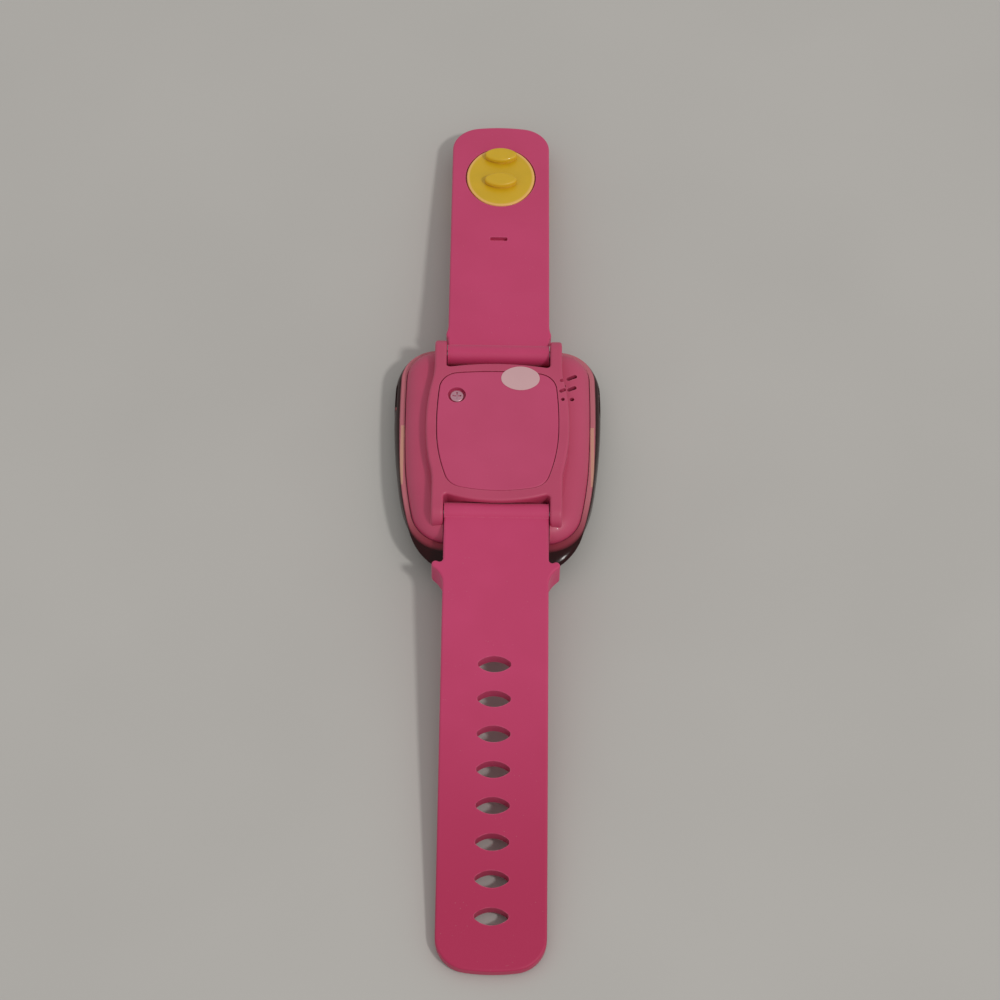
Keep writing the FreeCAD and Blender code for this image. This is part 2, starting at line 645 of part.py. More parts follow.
def make_shell():
    """Back cover: skirt inside the bezel, domed shoulder, wrist pad, lugs and battery bay."""
    shell = Piece("back_shell")
    shell.add(pad_outline(), S.cavity_level, S.pad_top)
    for end in (TOP, END):
        shell.cut(lug_end(end), -S.pad_half_width, S.pad_half_width, "YZ_Plane")
    shell.fillet(pad_rim, S.pad_round)
    shell.add(SEAM.draw(), S.skirt_level, S.seam_level)
    rise = S.shell_top - S.seam_level
    layers = [(SEAM.draw(inset), S.seam_level + rise * height) for inset, height in SHELL_DOME]
    shell.loft(layers)
    for end in (TOP, END):
        shell.cut(channel(end), S.channel_level, S.shell_top + 0.5)
    groove = disc(-S.pin_y, S.pin_level, S.knuckle_r + S.knuckle_gap)
    shell.cut(groove, -S.lug_gap_half, S.lug_gap_half, "YZ_Plane")
    for end in (TOP, END):
        shell.cut(disc(S.pin_y * end, S.pin_level, S.pin_r), -S.pin_half_length, S.pin_half_length, "YZ_Plane")
    shell.cut(SEAM.draw(S.skirt_wall), S.skirt_level, S.cavity_level)
    shell.add(case_screw_places(S.case_boss_r), S.skirt_level, S.cavity_level)
    shell.cut(case_screw_places(S.case_screw_r + S.pin_gap), S.skirt_level, S.channel_level)
    head_gap = S.case_screw_head_r + S.fit_gap
    shell.cut(case_screw_places(head_gap), S.channel_level - S.case_screw_head, S.channel_level)
    shell.cut(DOOR.draw(-S.door_gap), S.ledge_level, S.pad_top)
    seal_far = S.seal_inset + S.seal_width
    shell.cut(both(DOOR.draw(S.seal_inset - 0.05), DOOR.draw(seal_far + 0.05)),
              S.ledge_level - S.seal_depth, S.ledge_level)
    shell.cut(DOOR.draw(S.bay_inset), S.bay_floor, S.ledge_level)
    shell.add(disc(S.door_screw_x, S.door_screw_y, S.door_boss_r), S.bay_floor, S.ledge_level)
    shell.cut(disc(S.door_screw_x, S.door_screw_y, S.door_screw_r + S.pin_gap),
              S.door_screw_low - 0.4, S.ledge_level)
    shell.cut(box(S.duct_low_x, S.duct_low_y, S.duct_high_x, S.duct_high_y, 1.0), S.cavity_level, S.duct_high)
    slits = []
    for near_y, near, far_y, far in SLITS:
        slits.append(slit(S.slit_near_x, near_y, near, S.slit_width, SLIT_ANGLE))
        slits.append(slit(S.slit_far_x, far_y, far, S.slit_width, SLIT_ANGLE))
    shell.cut(both(*slits), S.duct_high - 0.2, S.pad_top)
    shell.cut(box(S.port_low_y - 0.1, S.socket_low_z - 0.1, S.port_high_y + 0.1, S.socket_high_z + 0.1),
              -22.0, -18.0, "YZ_Plane")
    shell.cut(box(S.side_low_y + 1.0, S.socket_low_z - 0.1, S.side_high_y - 1.0, S.side_high_z + 0.1),
              19.0, 22.0, "YZ_Plane")
    return shell


def make_battery():
    """Battery pouch in the bay with its connector, lead, door, seal and sticker."""
    pack = plain("battery_pack", box(S.battery_low_x, S.battery_low_y, S.battery_high_x, S.battery_high_y,
                                     S.battery_corner_r), S.bay_floor, S.battery_high)
    pack.fillet(level(S.battery_high), 0.8)
    plain("battery_connector", box(S.plug_low_x, S.plug_low_y, S.plug_high_x, S.plug_high_y, 0.3),
          S.bay_floor, S.plug_top)
    make_lead()
    door = Piece("battery_door")
    low = S.pad_top - S.door_thick
    door.add(DOOR.draw(), low, S.pad_top)
    door.fillet(level(S.pad_top), 0.3)
    door.cut(disc(S.door_screw_x, S.door_screw_y, S.head_recess_r), S.head_level, S.pad_top)
    door.cut(disc(S.door_screw_x, S.door_screw_y, S.door_screw_r + S.pin_gap), low, S.head_level)
    seal_far = S.seal_inset + S.seal_width
    plain("door_seal", both(DOOR.draw(S.seal_inset), DOOR.draw(seal_far)), S.ledge_level - S.seal_depth + 0.05, low)
    sticker_low = S.pad_top + S.sticker_lift
    plain("inspection_sticker", oval(S.sticker_x, S.sticker_y, S.sticker_half_length, S.sticker_half_width,
                                     S.sticker_end_r), sticker_low, sticker_low + S.sticker_thick)


def make_lead():
    """Two wires from the pouch to the connector, each a straight run, a bend and a run."""
    lead = Piece("battery_lead")
    bend_r = value_of(S.wire_bend_r)
    x = value_of(S.wire_x)
    for wire_y, wire_z in ((S.near_wire_y, S.near_wire_z), (S.far_wire_y, S.far_wire_z)):
        y = value_of(wire_y)
        path = lead.body.newObject("Sketcher::SketchObject", f"lead_path_{abs(int(y))}")
        base = next(o for o in lead.body.Origin.OriginFeatures if o.Role == "XY_Plane")
        path.AttachmentSupport = [(base, "")]
        path.MapMode = "FlatFace"
        path.AttachmentOffset = FreeCAD.Placement(V(0, 0, value_of(wire_z)), FreeCAD.Rotation())
        start = V(value_of(S.battery_low_x), y, 0)
        turn_in = V(x + bend_r, y, 0)
        turn_out = V(x, y + bend_r, 0)
        end = V(x, value_of(S.plug_low_y), 0)
        centre = V(x + bend_r, y + bend_r, 0)
        path.addGeometry(Part.LineSegment(start, turn_in))
        arc = Part.ArcOfCircle(Part.Circle(centre, V(0, 0, 1), bend_r), math.pi, 1.5 * math.pi)
        path.addGeometry(arc)
        path.addGeometry(Part.LineSegment(turn_out, end))
        path.addConstraint(Sketcher.Constraint("Tangent", 0, 2, 1, 2))
        path.addConstraint(Sketcher.Constraint("Tangent", 1, 1, 2, 1))
        fix_radius(path, 1, S.wire_bend_r)
        section = lead.sketch(disc(wire_y, wire_z, S.wire_r), "YZ_Plane", S.battery_low_x)
        pipe = lead.body.newObject("PartDesign::AdditivePipe", f"lead_pipe_{abs(int(y))}")
        pipe.Profile = section
        pipe.Spine = path
        lead.done(pipe)
    lead.body.AllowCompound = True
    return lead


def make_screws():
    """Door screw with a cross recess, and the four case screws below the straps."""
    screw = Piece("door_screw")
    x, y = S.door_screw_x, S.door_screw_y
    seat = S.head_level + S.seat_gap
    top = seat + S.head_thick
    screw.add(disc(x, y, S.door_screw_r), S.door_screw_low, seat)
    screw.add(disc(x, y, S.door_screw_head_r), seat, top)
    screw.fillet(level(top), 0.25)
    half = S.cross_width / 2
    reach = S.cross_length / 2
    cross = [(reach, -half), (reach, half), (half, half), (half, reach), (-half, reach), (-half, half),
             (-reach, half), (-reach, -half), (-half, -half), (-half, -reach), (half, -reach), (half, -half)]
    screw.cut(outline([(x + dx, y + dy) for dx, dy in cross]), top - S.cross_depth, top)

    case = Piece("case_screws")
    case.body.AllowCompound = True
    head_low = S.channel_level - S.case_screw_head
    case.add(case_screw_places(S.case_screw_r), S.case_screw_low, head_low)
    case.add(case_screw_places(S.case_screw_head_r), head_low, S.channel_level - 0.1)
    spots = [(sx, sy) for sx in (S.case_screw_x, -S.case_screw_x)
             for sy in (S.case_screw_high_y, S.case_screw_low_y)]
    grooves = [box(sx - 1.0, sy - 0.2, sx + 1.0, sy + 0.2) for sx, sy in spots]
    case.cut(both(*grooves), S.channel_level - 0.5, S.channel_level - 0.1)


# ---------------------------------------------------------------- inside the case
def make_inside():
    """Circuit board and what it carries, speaker, switches and socket."""
    board = Piece("main_circuit_board")
    board.add(box(-S.board_half_width, S.board_low_y, S.board_half_width, S.board_high_y, 1.5),
              S.board_low, S.board_high)
    board.add(box(S.board_arm_low_x, S.board_high_y - 1.4, S.board_arm_high_x, S.board_arm_y, 1.0),
              S.board_low, S.board_high)
    board.add(box(-S.board_tail_half, S.board_tail_y, S.board_tail_half, S.board_low_y + 2.0, 1.0),
              S.board_low, S.board_high)
    plain("processor_shield", box(S.can_low_x, S.can_low_y, S.can_high_x, S.can_high_y, 0.6),
          S.board_high, S.can_top)
    plain("microphone", disc(S.microphone_x, S.microphone_y, S.microphone_r), S.board_high, S.can_top)
    speaker = plain("speaker", speaker_outline(0.0), S.frame_top + 0.05, S.speaker_high)
    speaker.cut(speaker_outline(S.speaker_wall), S.speaker_high - S.speaker_dish, S.speaker_high)
    plain("speaker_gasket", both(speaker_outline(0.0), speaker_outline(S.speaker_wall - 0.2)),
          S.speaker_high, S.cavity_level)
    half = S.home_switch_half
    plain("home_switch", box(-half, S.home_y - half, half, S.home_y + half, 0.4),
          S.home_high + S.home_stem + S.home_travel + 0.05, S.board_low)
    switch = plain("side_switch", box(S.side_low_y + 1.1, S.socket_low_z, S.side_high_y - 1.1, S.side_high_z),
                   S.side_switch_low_x, S.side_switch_high_x, "YZ_Plane")
    switch.cut(box(S.side_switch_low_x - 0.4, S.side_low_y + 1.0, S.side_switch_high_x - 0.6, S.side_low_y + 1.8),
               S.socket_low_z, S.side_high_z)
    socket = plain("charging_socket", box(S.port_low_y, S.socket_low_z, S.port_high_y, S.socket_high_z, 0.5),
                   S.socket_mouth_x, S.socket_inner_x, "YZ_Plane")
    wall = S.socket_wall
    socket.cut(box(S.port_low_y + wall, S.socket_low_z + wall - 0.1, S.port_high_y - wall,
                   S.socket_high_z - wall + 0.1, 0.3),
               S.socket_mouth_x, S.socket_inner_x - wall * 2, "YZ_Plane")
    gasket_far = S.gasket_inset + S.gasket_width
    plain("case_gasket", both(SEAM.draw(S.gasket_inset), SEAM.draw(gasket_far)),
          S.frame_top + 0.02, S.skirt_level)


def speaker_outline(inset):
    """Top view of the speaker, drawn in by the inset."""
    return box(S.speaker_low_x + inset, S.speaker_low_y + inset, S.speaker_high_x - inset,
               S.speaker_high_y - inset, S.speaker_corner_r - inset)


def make_controls():
    """Home button, side button, port cover and the yellow strips along the sides."""
    home = Piece("home_button")
    home.add(disc(0.0, S.home_y, S.home_r), S.home_face, S.home_high)
    home.fillet(level(S.home_face), 0.4)
    home.add(disc(0.0, S.home_y, S.home_flange_r), S.bezel_lip + S.fit_gap, S.home_high)
    home.add(disc(0.0, S.home_y, S.home_stem_r), S.home_high, S.home_high + S.home_stem)

    side = Piece("side_button")
    side.add(box(S.side_low_y, S.side_low_z, S.side_high_y, S.side_high_z, 0.8),
             S.side_flange_x, S.side_face_x, "YZ_Plane")
    extra = S.side_flange_extra
    side.add(box(S.side_low_y - extra, S.side_low_z - extra, S.side_high_y + extra, S.side_high_z + extra, 0.8),
             S.side_flange_x, S.side_flange_x + S.side_flange_thick, "YZ_Plane")

    cover = Piece("port_cover")     # its plate ends in a round bead, about whose middle it swings
    inner = S.port_face_x + S.port_plate_thick
    bead_r = S.port_plate_thick / 2
    bead_y = S.port_high_y - bead_r
    plate = [(S.port_face_x, S.port_low_y + 0.1), (inner, S.port_low_y + 0.1), (inner, bead_y),
             (inner - bead_r, S.port_high_y), (S.port_face_x, bead_y)]
    cover.add(outline(plate, [None, None, bead_r, bead_r, None]), S.port_low_z, S.port_high_z)
    cover.add(box(S.port_low_y + 0.9, S.socket_low_z + 0.4, S.port_high_y - 0.9, S.port_high_z - 0.1, 0.4),
              inner, inner + S.port_plug_length, "YZ_Plane")

    for name, sign in (("accent_strip_right", 1), ("accent_strip_left", -1)):
        plain(name, side_band(sign, 0.1, S.strip_out, 0.0), S.strip_low_z, S.strip_high_z)

    for name, end in (("upper_strap_pin", TOP), ("lower_strap_pin", END)):
        plain(name, disc(S.pin_y * end, S.pin_level, S.pin_r - 0.01), -S.pin_half_length, S.pin_half_length, "YZ_Plane")


# ---------------------------------------------------------------- straps
class Strap:
    """One strap: a side view along its length, cut to its plan, with its pin bore."""

    def __init__(self, label, end, tip_y, tip_level, reach_r, shoulder, flare_shape):
        self.label = label
        self.end = end                # TOP or END: the strap runs towards +Y or -Y
        self.tip_y = tip_y
        self.tip_level = tip_level
        self.reach_r = reach_r
        self.shoulder = shoulder      # side view of the thick shoulder, as (y, z) points
        self.flare = flare_shape      # points and radii of the wider part of the top view

    def side_view(self):
        """Knuckle, convex root, long concave reach, tip, underside and shoulder."""
        thick = S.strap_thick
        face_y = S.pin_y + 1.88
        low_y = S.pin_y + 1.9
        low_z = S.pin_level - 1.38
        under_y = S.shoulder_end
        slope = (self.tip_level - S.face_bend_level) / (self.tip_y - S.face_bend_y)
        under_z = S.face_bend_level + slope * (under_y - S.face_bend_y) - thick - 0.3
        points = [(S.pin_y - S.knuckle_r, S.pin_level), (low_y, low_z)] + self.shoulder
        end_y = self.tip_y + 1.0
        end_level = self.tip_level - 0.06
        points += [(under_y, under_z), (end_y, end_level - thick), (end_y, end_level),
                   (S.face_bend_y, S.face_bend_level), (face_y, S.face_at_knuckle)]
        bends = [S.knuckle_r] + [None] * len(self.shoulder) + [None, -self.reach_r]
        bends += [None, self.reach_r, S.strap_root_r, S.knuckle_r]
        if self.end == END:
            points = [(-y, z) for y, z in points]
            bends = [None if r is None else -r for r in bends]
        return outline(points, bends)

    def plan(self):
        """Everything outside the strap's top view: a frame whose hole is the strap."""
        corner = S.tip_corner_r
        corner_x = S.strap_half_width - corner
        bow_y = self.tip_y - S.tip_r
        reach = S.tip_r - corner
        rise = root(reach * reach - corner_x * corner_x)
        share = S.tip_r / reach
        tip = [(S.strap_half_width, bow_y + rise), (corner_x * share, bow_y + rise * share)]
        flare_points, flare_bends = self.flare
        right = [(S.strap_half_width, 10.0)] + flare_points + tip
        left = [(-x, y) for x, y in reversed(right)]
        bends = [None] + flare_bends + [None, corner, S.tip_r, corner, None]
        bends += flare_bends[::-1] + [None, None]
        points = right + left
        if self.end == END:
            points = [(x, -y) for x, y in points]
            bends = [None if r is None else -r for r in bends]
        far = self.tip_y + 10.0
        near = 5.0
        frame = [(-20.0, near), (20.0, near), (20.0, far), (-20.0, far)]
        if self.end == END:
            frame = [(x, -y) for x, y in frame]
        return both(outline(frame), outline(points, bends))

    def build(self):
        strap = Piece(self.label)
        strap.add(self.side_view(), -15.0, 15.0, "YZ_Plane")
        strap.cut(self.plan(), -2.0, 16.0)
        strap.fillet(strap_rims, S.strap_round)
        strap.cut(disc(S.pin_y * self.end, S.pin_level, S.pin_r + S.pin_gap), -16.0, 16.0, "YZ_Plane")
        return strap


def flare(bump_x, bump_y, bump_r, near_r, far_r):
    """The strap's widening past the case, as the points and radii of three arcs that meet smoothly."""
    half = S.strap_half_width
    points = []
    for blend_r, side in ((near_r, -1), (far_r, 1)):
        centre_x = half + blend_r
        reach = blend_r + bump_r
        rise = root(reach * reach - (centre_x - bump_x) * (centre_x - bump_x)) * side
        share = bump_r / reach
        join = (bump_x + (centre_x - bump_x) * share, bump_y + rise * share)
        on_side = (half, bump_y + rise)
        points += [on_side, join] if side < 0 else [join, on_side]
    return points, [-near_r, bump_r, -far_r]


def strap_rims(edge, shape):
    """The edges between a strap's side and its face, and its underside past the shoulder."""
    middle = edge.valueAt((edge.FirstParameter + edge.LastParameter) / 2)
    if abs(middle.y) < value_of(S.pin_y + S.knuckle_r) + 0.3:
        return False
    slopes = []
    for face in shape.ancestorsOfType(edge, Part.Face):
        u, v = face.Surface.parameter(middle)
        slopes.append(face.normalAt(u, v).z)
    side = min(slopes, key=abs)
    flat = max(slopes, key=abs)
    past_shoulder = abs(middle.y) > value_of(S.shoulder_end) - 1.0
    return abs(side) < 0.1 and (flat > 0.9 or (flat < -0.9 and past_shoulder))


def clasp_place(depth=0.0):
    """Placement of the clasp's own frame: on the strap's face, tilted with it."""
    tilt = FreeCAD.Rotation(V(1, 0, 0), -value_of(S.clasp_tilt))
    base = V(0, value_of(S.clasp_y), value_of(S.clasp_level))
    return FreeCAD.Placement(base + tilt.multVec(V(0, 0, depth)), tilt)


def make_clasp_strap():
    """Shorter strap, with a recess for the clasp's disc, a hole for its post and a small slot."""
    shoulder = [(26.4, 8.9), (28.9, 8.3), (30.2, 5.2), (31.4, 4.9)]
    wide = flare(S.clasp_flare_x, S.clasp_flare_y, S.clasp_flare_r, S.clasp_blend_r, S.clasp_blend_r * 8)
    strap = Strap("clasp_strap", TOP, S.clasp_tip_y, S.clasp_tip_level, S.strap_reach_r, shoulder, wide)
    piece = strap.build()
    for draw, depth in ((clasp_disc(S.disc_gap), S.disc_recess), (disc(0.0, 0.0, S.post_r + S.fit_gap), 6.0)):
        sketch = piece.sketch(draw, "XY_Plane", 0.0, clasp_place(1.0))
        piece.feature("Pocket", sketch, depth + 1.0)
    piece.cut(box(S.slot_low_x, S.slot_low_y, S.slot_high_x, S.slot_high_y, 0.4),
              S.slot_bottom, S.slot_bottom + 2.0)
    return piece


def clasp_disc(grow=0.0):
    """Top view of the clasp's disc, a little longer along the strap than across it."""
    return oval(0.0, 0.0, S.disc_half_width, S.disc_half_length, S.disc_side_r, grow)


def make_clasp():
    """Yellow disc with two prongs on the wrist side, and the round cap on the outer side."""
    stud = Piece("clasp_stud")
    stud.body.Placement = clasp_place()
    under = S.strap_thick
    stud.add(clasp_disc(), -S.disc_recess, S.disc_high)
    stud.fillet(level(S.disc_high), 0.35)
    stud.add(disc(0.0, 0.0, S.post_r), -under - 1.5, -S.disc_recess)
    for sign in (1, -1):
        y = S.prong_shift + S.hole_pitch / 2 * sign
        stud.add(oval(0.0, y, S.prong_half_length - S.prong_neck_inset, S.prong_half_width - S.prong_neck_inset,
                      S.prong_end_r - S.prong_neck_inset), S.disc_high, S.prong_neck_high)
        stud.add(oval(0.0, y, S.prong_half_length, S.prong_half_width, S.prong_end_r),
                 S.prong_neck_high, S.prong_high)
    stud.fillet(level(S.prong_high), 0.55)
    cap = Piece("clasp_cap")
    cap.body.Placement = clasp_place()
    low = -under - S.cap_thick
    cap.add(disc(0.0, 0.0, S.cap_r), low, -under - 0.05)
    cap.fillet(level(low), S.cap_round)
    cap.cut(disc(0.0, 0.0, S.post_r + 0.02), -under - 1.55, -under)


def make_hole_strap():
    """Longer strap, with its row of oval holes."""
    shoulder = [(27.6, 9.1), (31.0, 8.8), (36.6, 5.2), (38.0, 5.1)]
    wide = flare(S.hole_flare_x, S.hole_flare_y, S.hole_flare_r, S.hole_blend_r, S.hole_blend_r * 6)
    strap = Strap("hole_strap", END, S.hole_tip_y, S.hole_tip_level, S.hole_reach_r, shoulder, wide)
    piece = strap.build()
    holes = []
    for number in range(HOLES):
        y = -(S.first_hole_y + S.hole_pitch * (number * 0.9955))
        holes.append(oval(0.0, y, S.hole_half_length, S.hole_half_width, S.hole_end_r))
    piece.cut(both(*holes), -1.0, 12.0)
    return piece


# ---------------------------------------------------------------- build, check, write
def faults():
    """Everything in the document that did not come out."""
    found = []
    for thing in doc.Objects:
        if "Invalid" in thing.State or "Error" in thing.State:
            found.append(f"{thing.Name}: {thing.State}")
    return found


def main():
    make_bezel()
    make_front()
    make_shell()
    make_battery()
    make_screws()
    make_inside()
    make_controls()
    make_clasp_strap()
    make_clasp()
    make_hole_strap()
    doc.recompute()
    bodies = [thing for thing in doc.Objects if thing.TypeId == "PartDesign::Body"]
    found = faults()
    for body in bodies:
        if body.Shape.isNull() or not body.Shape.isValid() or not body.Shape.Solids:
            found.append(f"{body.Label}: shape")
    if found:
        raise RuntimeError("; ".join(found))
    os.makedirs("parts", exist_ok=True)
    for body in bodies:
        body.Shape.exportStep(f"parts/{body.Label}.step")
        box_ = body.Shape.BoundBox
        print(f"{body.Label:22s} {len(body.Shape.Solids)} solid, {body.Shape.Volume:9.1f} mm3, "
              f"x {box_.XMin:.2f}..{box_.XMax:.2f} y {box_.YMin:.2f}..{box_.YMax:.2f} "
              f"z {box_.ZMin:.2f}..{box_.ZMax:.2f}")


main()
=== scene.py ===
"""Looks of a toy watch lying face down: finishes, small fitted pieces, studio and camera.

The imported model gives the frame: metres, +Z up out of the wrist side, +Y along the clasp strap,
and the origin on the window's outer face midway between the strap pins.
"""

import logging
import math
from collections.abc import Callable, Iterator
from contextlib import contextmanager
from dataclasses import dataclass, replace
from enum import Enum

import bpy
from mathutils import Matrix, Vector


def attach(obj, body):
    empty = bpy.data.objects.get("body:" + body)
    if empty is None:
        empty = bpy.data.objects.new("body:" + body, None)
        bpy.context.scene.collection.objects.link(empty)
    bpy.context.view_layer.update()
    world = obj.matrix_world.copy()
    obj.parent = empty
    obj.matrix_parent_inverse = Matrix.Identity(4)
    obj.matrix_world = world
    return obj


log = logging.getLogger("toy_watch")
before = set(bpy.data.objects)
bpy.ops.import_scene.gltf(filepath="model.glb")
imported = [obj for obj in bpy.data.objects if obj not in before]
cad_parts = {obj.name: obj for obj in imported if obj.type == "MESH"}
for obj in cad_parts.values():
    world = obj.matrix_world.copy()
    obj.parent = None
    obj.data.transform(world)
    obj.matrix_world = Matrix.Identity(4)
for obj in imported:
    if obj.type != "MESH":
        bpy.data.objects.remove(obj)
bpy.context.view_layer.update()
MM = 0.001

Colour = tuple[float, float, float]
Point = tuple[float, float, float]
Stops = tuple[tuple[float, float], ...]

DUST_COLOUR: Colour = (0.62, 0.58, 0.55)
PLASTIC_DUST_COLOUR: Colour = (0.6, 0.5, 0.5)
CLEAR_PLASTIC_IOR = 1.49
BUMP_STRENGTH = 0.5
ROUGHNESS_BELOW = 0.06
ROUGHNESS_ABOVE = 0.1
LOWEST_ROUGHNESS = 0.02
PATCH_SCALE = 120.0
WEAR_SAMPLES = 4
# stops of the masks: what they map and how bright it comes out
CLOUD_STOPS: Stops = ((0.35, 0.0), (0.65, 1.0))
TURN_STOPS: Stops = ((0.01, 0.0), (0.16, 1.0))
BREAK_STOPS: Stops = ((0.35, 0.25), (0.62, 1.0))
SPECK_STOPS: Stops = ((0.04, 1.0), (0.1, 0.0))
PATCH_STOPS: Stops = ((0.45, 0.0), (0.7, 1.0))
THREAD_STOPS: Stops = ((0.3, 0.0), (0.6, 1.0))
# angles in degrees: an edge sharper than the first is bevelled, one sharper than the second is shaded sharp
BEVEL_ABOVE = 40.0
SHARP_ABOVE = 35.0
RING_STEPS = 72
WIRE_STEPS = 12
# how much of a face's normal lies along an axis, at least, for the face to count as facing that way
FACES_IT = 0.9


# ---------------------------------------------------------------- shader helpers
class Graph:
    """A node tree with short calls to add and join nodes."""

    def __init__(self, tree: bpy.types.NodeTree) -> None:
        """Keeps the material's or group's node tree."""
        self.tree = tree

    def add(self, kind: str, **settings: object) -> bpy.types.Node:
        """Adds a node and sets its properties.

        Args:
            kind: the node's type without its ShaderNode prefix.
            settings: properties of the node by name.

        Returns:
            The new node.
        """
        name = kind if kind.startswith("Node") else "ShaderNode" + kind
        node = self.tree.nodes.new(name)
        for key, value in settings.items():
            setattr(node, key, value)
        return node

    def join(self, source: bpy.types.NodeSocket, target: bpy.types.NodeSocket) -> None:
        """Links an output to an input."""
        self.tree.links.new(source, target)

    def maths(self, operation: str, first: object, second: object = None) -> bpy.types.NodeSocket:
        """Adds a Math node.

        Args:
            operation: the node's operation.
            first: a socket or a number.
            second: a socket or a number, if the operation takes one.

        Returns:
            The node's output.
        """
        node = self.add("Math", operation=operation)
        for socket, value in zip(node.inputs, (first, second)):
            if isinstance(value, bpy.types.NodeSocket):
                self.join(value, socket)
            elif value is not None:
                socket.default_value = value
        return node.outputs[0]

    def chain(self, operation: str, values: list[bpy.types.NodeSocket]) -> bpy.types.NodeSocket:
        """Applies one operation to several values in turn.

        Args:
            operation: the Math nodes' operation.
            values: the values, at least one.

        Returns:
            The last node's output.
        """
        result = values[0]
        for value in values[1:]:
            result = self.maths(operation, result, value)
        return result

    def ramp(self, source: bpy.types.NodeSocket, stops: Stops) -> bpy.types.NodeSocket:
        """Maps a value through grey stops.

        Args:
            source: the value to map.
            stops: place and brightness of each stop, in rising order.

        Returns:
            The mapped value.
        """
        node = self.add("ValToRGB")
        elements = node.color_ramp.elements
        while len(elements) < len(stops):
            elements.new(0.5)
        for element, (place, value) in zip(elements, stops):
            element.position = place
            element.color = (value, value, value, 1.0)
        self.join(source, node.inputs["Fac"])
        return node.outputs["Color"]

    def blend(self, share: object, first: object, second: object, mode: str = "MIX") -> bpy.types.NodeSocket:
        """Mixes two colours.

        Args:
            share: how much of the second, a socket or a number.
            first: a colour or a socket.
            second: a colour or a socket.
            mode: the blend mode.

        Returns:
            The mixed colour.
        """
        node = self.add("Mix", data_type="RGBA", blend_type=mode)
        for socket, value in zip((node.inputs[0], node.inputs[6], node.inputs[7]), (share, first, second)):
            if isinstance(value, bpy.types.NodeSocket):
                self.join(value, socket)
            elif isinstance(value, tuple):
                socket.default_value = (*value, 1.0)
            else:
                socket.default_value = value
        return node.outputs[2]

    def place(self) -> bpy.types.NodeSocket:
        """Gives the object coordinates."""
        return self.add("TexCoord").outputs["Object"]

    def axes(self) -> bpy.types.NodeOutputs:
        """Gives the object coordinates apart.

        Returns:
            The outputs X, Y and Z.
        """
        axes = self.add("SeparateXYZ")
        self.join(self.place(), axes.inputs[0])
        return axes.outputs

    def span(self, value: bpy.types.NodeSocket, low: float, high: float, shape: str = "LINEAR") -> bpy.types.NodeSocket:
        """Maps a place to a share, from 0 at one end to 1 at the other.

        Args:
            value: the place, in metres.
            low: where the share is 0, in mm.
            high: where the share is 1, in mm.
            shape: how the share rises.

        Returns:
            The share.
        """
        node = self.add("MapRange", interpolation_type=shape)
        node.inputs["From Min"].default_value = low * MM
        node.inputs["From Max"].default_value = high * MM
        self.join(value, node.inputs["Value"])
        return node.outputs["Result"]

    def distance(self, first: bpy.types.NodeSocket, second: bpy.types.NodeSocket) -> bpy.types.NodeSocket:
        """Gives the length of a vector in the plane from its two parts."""
        squares = [self.maths("MULTIPLY", value, value) for value in (first, second)]
        return self.maths("SQRT", self.chain("ADD", squares))


